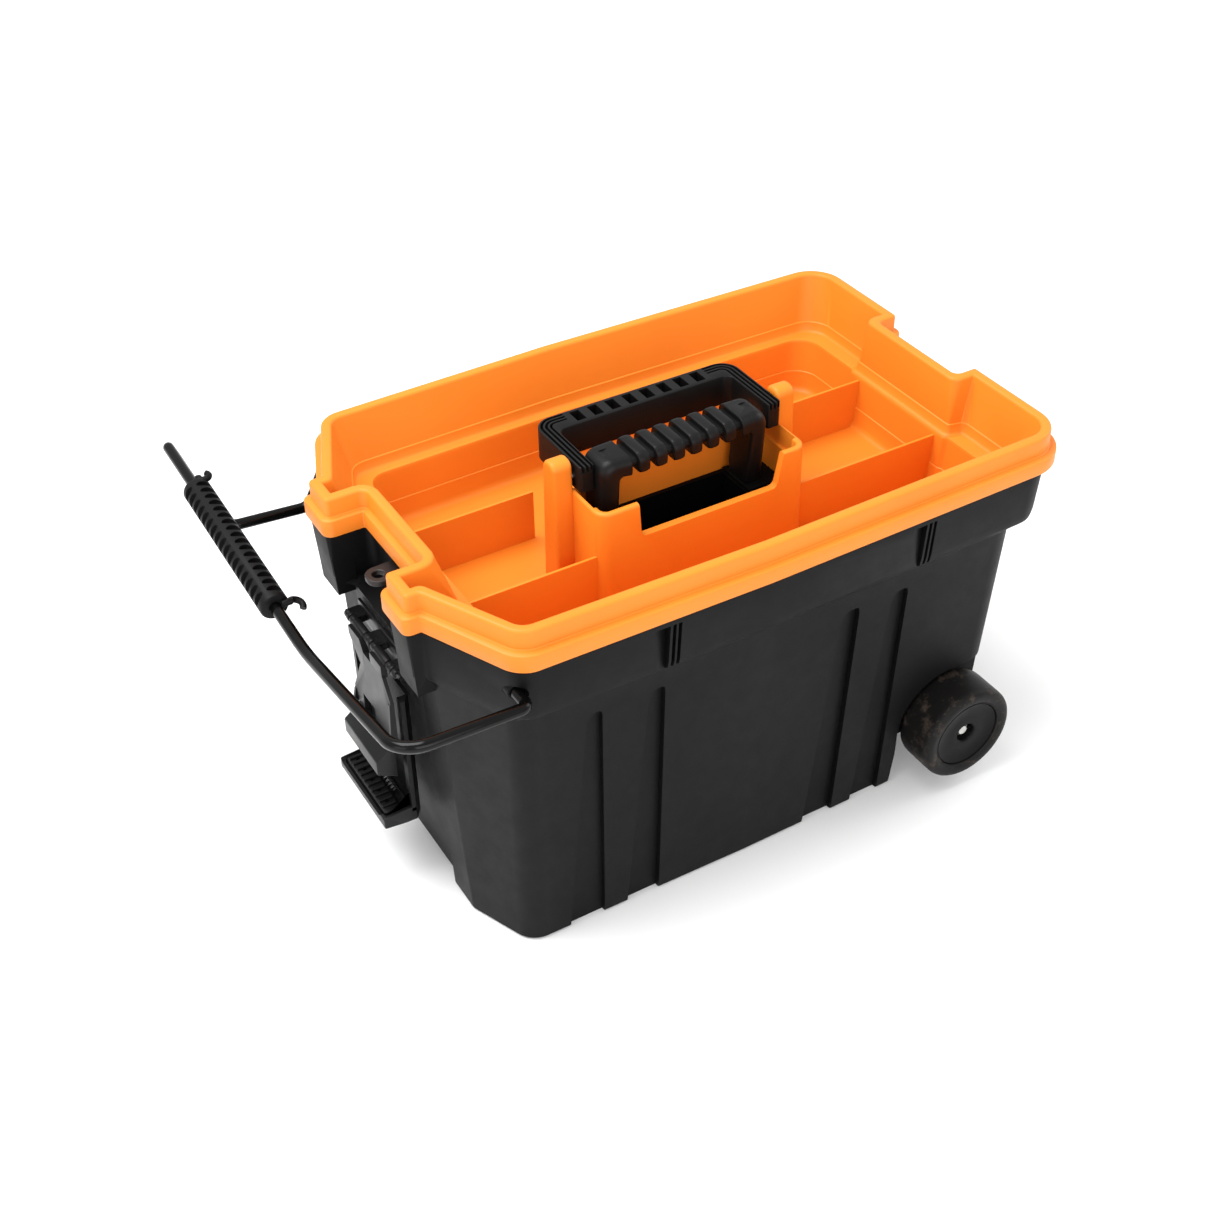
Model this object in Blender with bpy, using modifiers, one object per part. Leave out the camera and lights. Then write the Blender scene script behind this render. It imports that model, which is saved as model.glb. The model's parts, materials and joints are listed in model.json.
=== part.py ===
"""Rolling tool box: a black bin on two wheels, an orange lift-off tray with a folding carry
handle, and a wire bail and a latch on the left end.

Metres, +Z up. The origin is the middle of the rim's length and width, at the height of the
face that the box stands on. +X runs along the box to the wheels and -Y is the front.
"""

import math

import bmesh
import bpy
from mathutils import Matrix, Vector

NAME = "rolling_tool_box"

# Driving dimensions
RIM_Z = 0.364             # top of the tray's rim above the floor
RIM_HALF_X = 0.300
RIM_HALF_Y = 0.1826       # at the corners; the long sides bow out in the middle
RIM_BOW_Y = 0.1885
NOTCH_HALF_Y = 0.058      # half width of the recess in each end
PRONG_Y = 0.0955          # outer side of the prongs beside the latch
LATCH_NOTCH_X = -0.264
REAR_NOTCH_X = 0.2775
GAP = 0.0003              # between touching pieces

# Bin
WALL_TOP_Z = 0.268        # where the plain walls end and the flange starts
BOTTOM_HALF_Y = 0.1685
RAISED_X = 0.150          # the underside is raised from here to the wheel end
RAISED_Z = 0.046
TOP_HALF_Y = 0.1745
GROOVE_DEPTH = 0.005
SIDE_WALL = 0.009
END_WALL = 0.004

# Tray
FLOOR_Z = RIM_Z - 0.111
LEDGE_Z = RIM_Z - 0.056
DIVIDER_Z = RIM_Z - 0.060
DIVIDER_Y = 0.0575
WELL_HALF_X = 0.1068
WELL_FRONT_Y = -0.066
WELL_BACK_Y = 0.009
WELL_TOP_Z = RIM_Z - 0.015
WALL = 0.0028

# Handles
PIVOT_Y, PIVOT_Z = -0.012, RIM_Z - 0.004
FOLD_HALF_X = 0.1032
FOLD_BACK_Y = 0.055
ARCH_HALF_X = 0.0850
ARCH_FRONT_Y = -0.0345
ARCH_BACK_Y = -0.0055

# Wheels
AXLE_X, AXLE_Z = 0.211, 0.064
WHEEL_R = 0.050
AXLE_R = 0.005
TYRE_OUT_Y, TYRE_IN_Y = 0.209, 0.164
ARCH_R = 0.056
ARCH_Y = 0.156            # inner face of the wheel arches

# Bail
BAIL_X, BAIL_Z = -0.248, 0.303
BAIL_REACH = 0.110
BAIL_Y = 0.1965
ROD_R = 0.0048
KNEE_Y, BAR_Z, BAR_SLOPE = -0.010, 0.2725, 0.0750
BAIL_TIP_Y = 0.322
GRIP_Y0, GRIP_Y1 = 0.0545, 0.2400
GRIP_R = 0.0125

# Latch
LATCH_X, LATCH_Z = -0.2955, 0.250    # hinge axis

parts = None
cutters = None


# ---------------------------------------------------------------- scene and materials

def clear_scene():
    for thing in list(bpy.data.objects):
        bpy.data.objects.remove(thing, do_unlink=True)


def collection(name):
    made = bpy.data.collections.new(name)
    bpy.context.scene.collection.children.link(made)
    return made


def material(name, colour, roughness, metallic=0.0):
    made = bpy.data.materials.new(name)
    made.use_nodes = True
    shader = made.node_tree.nodes["Principled BSDF"]
    shader.inputs["Base Color"].default_value = (*colour, 1.0)
    shader.inputs["Roughness"].default_value = roughness
    shader.inputs["Metallic"].default_value = metallic
    return made


def finish(name, mesh_data, look, angle=math.radians(32)):
    """A named part from a bmesh, shaded smooth with sharp edges."""
    bmesh.ops.recalc_face_normals(mesh_data, faces=mesh_data.faces)
    mesh = bpy.data.meshes.new(name)
    mesh_data.to_mesh(mesh)
    mesh_data.free()
    mesh.shade_smooth()
    mesh.set_sharp_from_angle(angle=angle)
    made = bpy.data.objects.new(name, mesh)
    parts.objects.link(made)
    if look:
        mesh.materials.append(look)
    return made


def as_cutter(thing):
    parts.objects.unlink(thing)
    cutters.objects.link(thing)
    thing.hide_render = True
    thing.display_type = "WIRE"
    return thing


def boolean(thing, tool, operation="DIFFERENCE"):
    step = thing.modifiers.new(tool.name, "BOOLEAN")
    step.operation = operation
    step.solver = "EXACT"
    step.object = as_cutter(tool)


def cut(thing, *tools):
    for tool in tools:
        boolean(thing, tool)


def join(thing, *tools):
    for tool in tools:
        boolean(thing, tool, "UNION")


# ---------------------------------------------------------------- shapes

def fillet(before, corner, after, radius, steps):
    """Points of an arc that rounds a corner."""
    a = Vector(before) - Vector(corner)
    b = Vector(after) - Vector(corner)
    turn = math.pi - a.angle(b)
    if turn < 0.02:
        along = b.normalized() * 0.003
        return [Vector(corner) + along * (2 * i / steps - 1) for i in range(steps + 1)]
    reach = min(radius * math.tan(turn / 2), 0.48 * a.length, 0.48 * b.length)
    radius = reach / math.tan(turn / 2)
    start = Vector(corner) + a.normalized() * reach
    end = Vector(corner) + b.normalized() * reach
    middle = (a.normalized() + b.normalized()).normalized()
    centre = Vector(corner) + middle * (radius / math.cos(turn / 2))
    u, v = start - centre, end - centre
    sweep = u.angle(v)
    points = []
    for i in range(steps + 1):
        t = i / steps
        mix = (math.sin((1 - t) * sweep) * u + math.sin(t * sweep) * v) / math.sin(sweep)
        points.append(centre + mix)
    return points


def ring(corners, z, grow=0.0):
    """A closed, rounded outline at one height. A corner is (x, y, radius, arc steps)."""
    count = len(corners)
    flat = [Vector(c[:2]) for c in corners]
    moved = []
    for i, here in enumerate(flat):
        into = (here - flat[i - 1]).normalized()
        out = (flat[(i + 1) % count] - here).normalized()
        n0, n1 = Vector((into.y, -into.x)), Vector((out.y, -out.x))
        moved.append(here + (n0 + n1) * (grow / (1 + n0.dot(n1))))
    points = []
    for i, here in enumerate(moved):
        radius, steps = corners[i][2:]
        into, out = flat[i] - flat[i - 1], flat[(i + 1) % count] - flat[i]
        bulges = into.x * out.y - into.y * out.x > 0
        radius = max(radius + (grow if bulges else -grow), 0.0012)
        before, after = moved[i - 1], moved[(i + 1) % count]
        arc = [here] if steps == 0 else fillet(before, here, after, radius, steps)
        points += [(p.x, p.y, z) for p in arc]
    return points


def loft(name, rings, look):
    """A closed skin through rings with the same number of points, capped at both ends."""
    made = bmesh.new()
    rows = [[made.verts.new(p) for p in points] for points in rings]
    for low, high in zip(rows, rows[1:]):
        for i in range(len(low)):
            j = (i + 1) % len(low)
            made.faces.new((low[i], low[j], high[j], high[i]))
    made.faces.new(rows[0][::-1])
    made.faces.new(rows[-1])
    bmesh.ops.recalc_face_normals(made, faces=made.faces)
    bmesh.ops.triangulate(made, faces=made.faces)
    return finish(name, made, look)


def box(name, low, high, look=None, bevel=0.0, segments=2):
    made = bmesh.new()
    low, high = Vector(low), Vector(high)
    size = high - low
    place = Matrix.Translation((low + high) / 2) @ Matrix.Diagonal((*size, 1))
    bmesh.ops.create_cube(made, size=1.0, matrix=place)
    if bevel:
        bmesh.ops.bevel(made, geom=made.edges[:], offset=bevel, segments=segments,
                        profile=0.5, affect="EDGES", clamp_overlap=True)
    return finish(name, made, look)


AXES = {"X": Matrix.Rotation(math.pi / 2, 4, "Y"),
        "Y": Matrix.Rotation(math.pi / 2, 4, "X"),
        "Z": Matrix.Identity(4)}


def cylinder(name, centre, radius, length, axis, look=None, sides=24, bevel=0.0, sharp=32):
    made = bmesh.new()
    bmesh.ops.create_cone(made, cap_ends=True, segments=sides, radius1=radius,
                          radius2=radius, depth=length,
                          matrix=Matrix.Translation(centre) @ AXES[axis])
    if bevel:
        caps = [e for e in made.edges if len(e.link_faces) == 2
                and any(len(f.verts) > 4 for f in e.link_faces)]
        bmesh.ops.bevel(made, geom=caps, offset=bevel, segments=2, profile=0.5,
                        affect="EDGES", clamp_overlap=True)
    return finish(name, made, look, math.radians(sharp))


def slab(name, outline, low, high, axis, look=None):
    """A flat outline extruded along one axis. The outline's points run the other two."""
    made = bmesh.new()
    place = {"X": lambda u, v: (low, u, v), "Y": lambda u, v: (u, low, v),
             "Z": lambda u, v: (u, v, low)}[axis]
    face = made.faces.new([made.verts.new(place(u, v)) for u, v in outline])
    grown = bmesh.ops.extrude_face_region(made, geom=[face])["geom"]
    moved = [part for part in grown if isinstance(part, bmesh.types.BMVert)]
    along = Vector([high - low if letter == axis else 0.0 for letter in "XYZ"])
    bmesh.ops.translate(made, verts=moved, vec=along)
    return finish(name, made, look)


def rounded(corners):
    """A flat rounded outline from (u, v, radius) corners."""
    return [(p[0], p[1]) for p in ring([(*c, 4 if c[2] else 0) for c in corners], 0.0)]


def turned(name, profile, centre, look, steps=32, flip=False):
    """A closed profile of (radius, distance along Y) turned about the Y axis at centre."""
    side = -1 if flip else 1
    mesh = bpy.data.meshes.new(name)
    points = [(r, side * y, 0.0) for r, y in profile]
    if not flip:
        points.reverse()
    count = len(points)
    mesh.from_pydata(points, [(i, (i + 1) % count) for i in range(count)], [])
    mesh.materials.append(look)
    made = bpy.data.objects.new(name, mesh)
    made.location = centre
    parts.objects.link(made)
    turn = made.modifiers.new("turn", "SCREW")
    turn.axis = "Y"
    turn.steps = turn.render_steps = steps
    turn.use_merge_vertices = True
    turn.merge_threshold = 1e-5
    turn.use_smooth_shade = True
    return made


def bent(points, steps=6):
    """A path through (x, y, z, bend radius) points, with each bend an arc."""
    places = [Vector(p[:3]) for p in points]
    path = [places[0]]
    for i in range(1, len(points) - 1):
        path += fillet(places[i - 1], places[i], places[i + 1], points[i][3], steps)
    return path + [places[-1]]


def rod(name, path, radius, look, resolution=2):
    """A round wire along a path, as a mesh with closed ends."""
    line = bpy.data.curves.new(name, "CURVE")
    line.dimensions = "3D"
    line.bevel_depth = radius
    line.bevel_resolution = resolution
    line.use_fill_caps = True
    spline = line.splines.new("POLY")
    spline.points.add(len(path) - 1)
    for point, place in zip(spline.points, path):
        point.co = (*place, 1.0)
    wire = bpy.data.objects.new(name + "_path", line)
    parts.objects.link(wire)
    bpy.context.view_layer.update()
    solid = bpy.data.meshes.new_from_object(
        wire.evaluated_get(bpy.context.evaluated_depsgraph_get()))
    made = bmesh.new()
    made.from_mesh(solid)
    bmesh.ops.remove_doubles(made, verts=made.verts, dist=1e-6)
    bpy.data.objects.remove(wire, do_unlink=True)
    bpy.data.curves.remove(line)
    bpy.data.meshes.remove(solid)
    return finish(name, made, look, math.radians(50))


def coil(centre, radius, length, turns, per_turn=8):
    """Points of a helix along Y."""
    points = []
    count = turns * per_turn
    for i in range(count + 1):
        angle = 2 * math.pi * i / per_turn
        points.append(Vector(centre) + Vector((radius * math.cos(angle),
                                               length * (i / count - 0.5),
                                               radius * math.sin(angle))))
    return points


# ---------------------------------------------------------------- outlines

def both_sides(half):
    """Mirrors corners of the rear half, listed from the wheel end to the latch end."""
    return half + [(x, -y, r, s) for x, y, r, s in reversed(half)]


RIM = both_sides([
    (REAR_NOTCH_X, NOTCH_HALF_Y, 0.006, 2),
    (RIM_HALF_X, NOTCH_HALF_Y, 0.003, 2),
    (RIM_HALF_X, RIM_HALF_Y, 0.036, 6),
    (-0.020, RIM_BOW_Y, 0.0, 0),
    (-0.245, RIM_HALF_Y + 0.001, 0.022, 4),
    (-0.2875, PRONG_Y, 0.0, 0),
    (-RIM_HALF_X, PRONG_Y, 0.003, 2),
    (-RIM_HALF_X, NOTCH_HALF_Y, 0.003, 2),
    (LATCH_NOTCH_X, NOTCH_HALF_Y, 0.006, 2),
])


FLANGE = both_sides([
    (REAR_NOTCH_X - 0.0035, NOTCH_HALF_Y, 0.006, 2),
    (RIM_HALF_X - 0.0040, NOTCH_HALF_Y, 0.003, 2),
    (RIM_HALF_X - 0.0040, RIM_HALF_Y - 0.0030, 0.034, 6),
    (-0.020, RIM_BOW_Y - 0.0030, 0.0, 0),
    (-0.2455, RIM_HALF_Y - 0.0010, 0.022, 4),
    (-0.2885, PRONG_Y + 0.0020, 0.0, 0),
    (-RIM_HALF_X - 0.0015, PRONG_Y + 0.0020, 0.003, 2),
    (-RIM_HALF_X - 0.0015, NOTCH_HALF_Y + 0.0025, 0.003, 2),
    (LATCH_NOTCH_X + 0.0025, NOTCH_HALF_Y + 0.0025, 0.006, 2),
])


def walls(wheel_x, latch_x, half_y, corner_x, facet_y=0.095):
    """The plain walls' outline, with the corners that the rim's outline has."""
    return both_sides([
        (wheel_x, 0.040, 0.0, 2),
        (wheel_x, 0.080, 0.0, 2),
        (wheel_x, half_y, 0.030, 6),
        (-0.020, half_y + 0.003, 0.0, 0),
        (corner_x, half_y, 0.024, 4),
        (latch_x, facet_y, 0.003, 0),
        (latch_x, 0.080, 0.0, 2),
        (latch_x, 0.060, 0.0, 2),
        (latch_x, 0.040, 0.0, 2),
    ])


def pocket(wheel_x, notch_x, half_y, latch_x, prong_x, corner_x):
    """The tray's inside outline below the rim's steps."""
    return both_sides([
        (notch_x, 0.070, 0.004, 2),
        (wheel_x, 0.074, 0.004, 2),
        (wheel_x, half_y, 0.024, 6),
        (-0.020, half_y + 0.004, 0.0, 0),
        (corner_x, half_y, 0.016, 4),
        (prong_x + 0.006, 0.0850, 0.0, 0),
        (prong_x, 0.0822, 0.0015, 2),
        (prong_x, 0.0720, 0.0015, 2),
        (latch_x, 0.0690, 0.003, 2),
    ])


# ---------------------------------------------------------------- bin

def ribbon(name, x_low, x_high, y, side):
    """A cutter for one tapered groove in a long wall: narrow at the top, wide at the foot."""
    top_left = x_high[0] - 0.55 * (x_high[0] - x_low)
    rows = []
    for z, left, right in ((-0.01, x_low, x_high[1]), (0.235, top_left, x_high[0]),
                           (0.247, top_left + 0.007, x_high[0])):
        taper = BOTTOM_HALF_Y + (TOP_HALF_Y - BOTTOM_HALF_Y) * z / WALL_TOP_Z
        near, far = (taper - GROOVE_DEPTH) * side, y * side
        rows.append([(left, near, z), (right, near, z), (right, far, z), (left, far, z)])
    return loft(name, rows, None)


def make_bin(look):
    low = walls(0.2535, -0.2700, BOTTOM_HALF_Y, -0.256, 0.120)
    high = walls(0.2695, -0.2815, TOP_HALF_Y, -0.246)
    rings = [
        ring(low, 0.0, -0.003),
        ring(low, 0.003),
        ring(high, WALL_TOP_Z),
        ring(FLANGE, WALL_TOP_Z + 0.007, -0.0045),
        ring(FLANGE, WALL_TOP_Z + 0.013, -0.0030),
        ring(FLANGE, RIM_Z - 0.0345),
        ring(FLANGE, RIM_Z - 0.0325, -0.0010),
        ring(RIM, RIM_Z - 0.0320, -0.0031),
        ring(RIM, RIM_Z - 0.0040, -0.0031),
        ring(RIM, RIM_Z - 0.0040, -0.0069),
        ring(RIM, RIM_Z - 0.068, -0.0098),
        ring(RIM, WALL_TOP_Z + 0.002, -0.0102),
        ring(walls(0.2695 - END_WALL, -0.2815 + END_WALL + 0.003, TOP_HALF_Y - SIDE_WALL,
                   -0.232), WALL_TOP_Z - 0.006),
        ring(walls(0.2590 - END_WALL, -0.2700 + END_WALL + 0.003,
                   BOTTOM_HALF_Y - SIDE_WALL, -0.238, 0.108), 0.150),
        ring(walls(0.1440, -0.2700 + END_WALL + 0.003,
                   BOTTOM_HALF_Y - SIDE_WALL, -0.239, 0.109), 0.136),
        ring(walls(0.1440, -0.2700 + END_WALL + 0.003,
                   BOTTOM_HALF_Y - SIDE_WALL, -0.247, 0.116), 0.004),
    ]
    shell = loft("bin_shell", rings, look)
    add_ears(shell)
    for side in (-1, 1):
        add_grooves(shell, side)
        add_pockets(shell, side)
        add_wheel_arch(shell, side)
        boss = cylinder("bail_boss", (BAIL_X, 0.1765 * side, BAIL_Z), 0.013, 0.020, "Y")
        join(shell, boss)
        hole = cylinder("bail_hole", (BAIL_X, 0.175 * side, BAIL_Z), 0.0075, 0.050, "Y")
        cut(shell, hole)
    under = box("axle_recess", (0.152, -0.148, -0.010), (0.246, 0.148, 0.124))
    bore = cylinder("axle_bore", (AXLE_X, 0.0, AXLE_Z), AXLE_R + GAP, 0.36, "Y")
    raised = slab("raised_end", [(RAISED_X, -0.010), (0.320, -0.010), (0.320, RAISED_Z),
                                 (RAISED_X + 0.006, RAISED_Z)], -0.25, 0.25, "Y")
    cut(shell, under, bore, raised)
    return shell


def add_ears(shell):
    """The blocks below the prongs of the rim on each side of the latch."""
    for side in (-1, 1):
        rows = []
        for z, x, inset in ((0.2595, -0.2980, 0.0008), (0.2605, -0.2992, 0.0), (0.3040, -0.3008, 0.0)):
            low_y, high_y = sorted(((0.0623 + inset) * side, (0.0958 - inset) * side))
            rows.append([(x, low_y, z), (-0.2785, low_y, z),
                         (-0.2785, high_y, z), (x, high_y, z)])
        join(shell, loft("ear", rows, None))


def add_grooves(shell, side):
    for left, right_top, right_foot in ((-0.2045, -0.1705, -0.1685), (-0.146, -0.1105, -0.112),
                                        (0.0465, 0.0896, 0.0815), (0.103, 0.1432, 0.1365)):
        cut(shell, ribbon("groove", left, (right_top, right_foot), 0.185, side))


def add_pockets(shell, side):
    """A wide recess and two slots in the flange, at two places on each long side."""
    for x in (-0.1025, 0.1585):
        for left, right, depth, foot in ((-0.0235, -0.0110, 0.0060, -0.106),
                                         (-0.0085, -0.0055, 0.0045, -0.102),
                                         (-0.0035, -0.0005, 0.0045, -0.099)):
            low_y, high_y = sorted(((0.1835 - depth) * side, 0.20 * side))
            cut(shell, box("flange_pocket", (x + left, low_y, RIM_Z + foot),
                           (x + right, high_y, RIM_Z - 0.044)))


def add_wheel_arch(shell, side):
    """An arch over the wheel, open below and to the end of the box."""
    low_y, high_y = sorted((ARCH_Y * side, 0.22 * side))
    curve = [(AXLE_X + ARCH_R * math.cos(a), AXLE_Z + ARCH_R * math.sin(a))
             for a in (math.radians(90 + 9 * i) for i in range(11))]
    foot = [(AXLE_X - ARCH_R, 0.012), (0.1520, 0.003), (0.1440, -0.001), (0.1440, -0.020),
            (0.310, -0.020), (0.310, AXLE_Z + ARCH_R)]
    cut(shell, slab("wheel_arch", curve + foot, low_y, high_y, "Y"))


# ---------------------------------------------------------------- tray

def make_tray(look):
    upper = pocket(0.2800, 0.2640, 0.1605, -0.2400, -0.2700, -0.2330)
    lower = pocket(0.2630, 0.2595, 0.1510, -0.2290, -0.2420, -0.2220)
    floor = pocket(0.2570, 0.2550, 0.1470, -0.2270, -0.2370, -0.2200)
    rings = [
        ring(floor, FLOOR_Z - WALL, 0.0010),
        ring(floor, FLOOR_Z, 0.0026),
        ring(lower, LEDGE_Z - WALL, 0.0026),
        ring(upper, LEDGE_Z - WALL, 0.0026),
        ring(RIM, RIM_Z - 0.0035, -0.0074),
        ring(RIM, RIM_Z - 0.0035, -0.0026),
        ring(RIM, RIM_Z - 0.0200, -0.0026),
        ring(RIM, RIM_Z - 0.0310, 0.0020),
        ring(RIM, RIM_Z - 0.0310, 0.0050),
        ring(RIM, RIM_Z - 0.0200, 0.0056),
        ring(RIM, RIM_Z - 0.0185, 0.0046),
        ring(RIM, RIM_Z - 0.0170, 0.0006),
        ring(RIM, RIM_Z - 0.0016, 0.0),
        ring(RIM, RIM_Z, -0.0018),
        ring(RIM, RIM_Z, -0.0084),
        ring(RIM, RIM_Z - 0.0014, -0.0098),
        ring(upper, RIM_Z - 0.0460, 0.0020),
        ring(upper, LEDGE_Z + 0.0030, -0.0006),
        ring(upper, LEDGE_Z, -0.0030),
        ring(lower, LEDGE_Z),
        ring(floor, FLOOR_Z),
    ]
    tray = loft("tray", rings, look)
    add_dividers(tray)
    add_well(tray)
    add_posts(tray)
    return tray


def add_dividers(tray):
    for side in (-1, 1):
        low_y, high_y = sorted((side * (DIVIDER_Y - 0.0013), side * (DIVIDER_Y + 0.0013)))
        for low_x, high_x in ((-0.2295, -0.1055), (0.1055, 0.2585)):
            join(tray, box("divider", (low_x, low_y, FLOOR_Z - 0.001),
                           (high_x, high_y, DIVIDER_Z)))


def add_well(tray):
    outside = [(WELL_HALF_X, WELL_BACK_Y, 0.004, 3), (-WELL_HALF_X, WELL_BACK_Y, 0.004, 3),
               (-WELL_HALF_X, WELL_FRONT_Y, 0.012, 4), (WELL_HALF_X, WELL_FRONT_Y, 0.012, 4)]
    rings = [ring(outside, FLOOR_Z - 0.001, 0.001),
             ring(outside, WELL_TOP_Z - 0.001),
             ring(outside, WELL_TOP_Z, -0.0008),
             ring(outside, WELL_TOP_Z, -WALL + 0.0002),
             ring(outside, FLOOR_Z - 0.0005, -WALL)]
    join(tray, loft("well", rings, None))
    notch = [(-0.064, RIM_Z - 0.0445, 0.004), (0.074, RIM_Z - 0.0445, 0.004),
             (0.081, RIM_Z, 0.0), (-0.071, RIM_Z, 0.0)]
    cut(tray, slab("well_notch", rounded(notch), -0.090, -0.055, "Y"))
    cut(tray, box("well_back", (-0.101, -0.020, RIM_Z - 0.024), (0.101, 0.030, RIM_Z)))


def add_posts(tray):
    """The rounded posts that the folding handle's pins sit in."""
    for side in (-1, 1):
        outline = rounded([(-0.0225, FLOOR_Z - 0.001, 0.0), (0.0045, FLOOR_Z - 0.001, 0.0),
                           (0.0005, RIM_Z + 0.0155, 0.008), (-0.0185, RIM_Z + 0.0155, 0.008)])
        low_x, high_x = sorted((side * (WELL_HALF_X - 0.0015), side * 0.1245))
        join(tray, slab("post", outline, low_x, high_x, "X"))
        cut(tray, cylinder("pin_hole", (side * 0.112, PIVOT_Y, PIVOT_Z), 0.0033, 0.018, "X"))
        arm_room = sorted((side * 0.100, side * (FOLD_HALF_X + 0.0006)))
        cut(tray, box("arm_room", (arm_room[0], -0.050, RIM_Z - 0.034),
                      (arm_room[1], 0.030, RIM_Z + 0.03)))


# ---------------------------------------------------------------- handles

def make_insert(look):
    """The dark liner in the handle well, with the sockets of the arch handle's legs."""
    floor = RIM_Z - 0.061
    half_x = WELL_HALF_X - WALL - GAP
    low_y, high_y = WELL_FRONT_Y + WALL + GAP, WELL_BACK_Y - WALL - GAP
    base = box("handle_insert", (-half_x + 0.004, low_y + 0.004, FLOOR_Z + GAP),
               (half_x - 0.004, high_y - 0.0005, floor), look, 0.001, 1)
    for side in (-1, 1):
        low_x, high_x = sorted((side * 0.064, side * 0.092))
        join(base, box("leg_pad", (low_x, -0.045, floor - 0.002),
                       (high_x, -0.0005, floor + 0.003), None, 0.001, 1))
    room = box("insert_room", (-0.058, low_y + 0.008, FLOOR_Z + 0.020),
               (0.058, high_y - 0.006, floor + 0.01))
    cut(base, room)
    return base


def arch_section(under, over, inset=0.0):
    """One rounded section of the arch handle, from a point on its inside to one outside."""
    low, high = Vector((under[0], 0.0, under[1])), Vector((over[0], 0.0, over[1]))
    middle, reach = (low + high) / 2, (high - low).length / 2 - inset
    out = (high - low).normalized()
    half = (ARCH_BACK_Y - ARCH_FRONT_Y) / 2 - inset
    across = Vector((0.0, (ARCH_BACK_Y + ARCH_FRONT_Y) / 2, 0.0))
    flat = ring([(-reach, -half, 0.004, 3), (reach, -half, 0.006, 3), (reach, half, 0.006, 3),
                 (-reach, half, 0.004, 3)], 0.0)
    return [tuple(middle + across + out * u + Vector((0.0, v, 0.0))) for u, v, _ in flat]


def make_arch(look):
    """The fixed arch handle: one section carried up a leg, over the bar and down again."""
    foot, under, top = RIM_Z - 0.0577, RIM_Z - 0.0040, RIM_Z + 0.0130
    inside = fillet((-0.0680, 0, foot), (-0.0680, 0, under), (0.0, 0, under), 0.004, 6)
    outside = fillet((-0.0885, 0, foot), (-ARCH_HALF_X, 0, top), (0.0, 0, top), 0.013, 6)
    left = [((-0.0680, foot), (-0.0885, foot))]
    left += [((p.x, p.z), (q.x, q.z)) for p, q in zip(inside, outside)]
    rings = [arch_section(*pair) for pair in left]
    for i in range(7):
        for x, inset in ((-0.0027, 0.0), (-0.0027, 0.0020), (0.0027, 0.0020), (0.0027, 0.0)):
            x += (i - 3) * 0.0172
            rings.append(arch_section((x, under), (x, top), inset))
    for (a, b), (c, d) in reversed(left):
        rings.append(arch_section((-a, b), (-c, d)))
    return loft("arch_handle", rings, look)


def make_fold_handle(look):
    """The U handle that folds back over the tray, ribbed on top and hollow below."""
    top, foot = RIM_Z + 0.0080, RIM_Z - 0.0190
    front = -0.0340
    outer = [(FOLD_HALF_X, front, 0.003, 3), (FOLD_HALF_X, FOLD_BACK_Y, 0.018, 6),
             (-FOLD_HALF_X, FOLD_BACK_Y, 0.018, 6), (-FOLD_HALF_X, front, 0.003, 3),
             (-0.0892, front, 0.002, 3), (-0.0892, 0.0355, 0.006, 6),
             (0.0892, 0.0355, 0.006, 6), (0.0892, front, 0.002, 3)]
    handle = loft("fold_handle", [ring(outer, foot), ring(outer, top - 0.001),
                                  ring(outer, top, -0.001)], look)
    relief = box("arm_relief", (-0.11, -0.050, foot - 0.01), (0.11, -0.006, RIM_Z - 0.0135))
    slots = [box("bar_slot", (x - 0.0045, 0.0385, top - 0.0035), (x + 0.0045, 0.0525, top + 0.01))
             for x in ((i - 3.5) * 0.0178 for i in range(8))]
    hollow = box("bar_hollow", (-0.084, 0.0385, foot - 0.01), (0.084, 0.0525, top - 0.006))
    cut(handle, relief, hollow, *slots)
    for side in (-1, 1):
        cut(handle, cylinder("arm_hole", (side * 0.097, PIVOT_Y, PIVOT_Z), 0.0033, 0.03, "X"))
    return handle


def make_handle_pins(look):
    for name, side in (("handle_pin_left", -1), ("handle_pin_right", 1)):
        cylinder(name, (side * 0.1055, PIVOT_Y, PIVOT_Z), 0.0030, 0.028, "X", look, 20, 0.0005)


# ---------------------------------------------------------------- wheels

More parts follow.
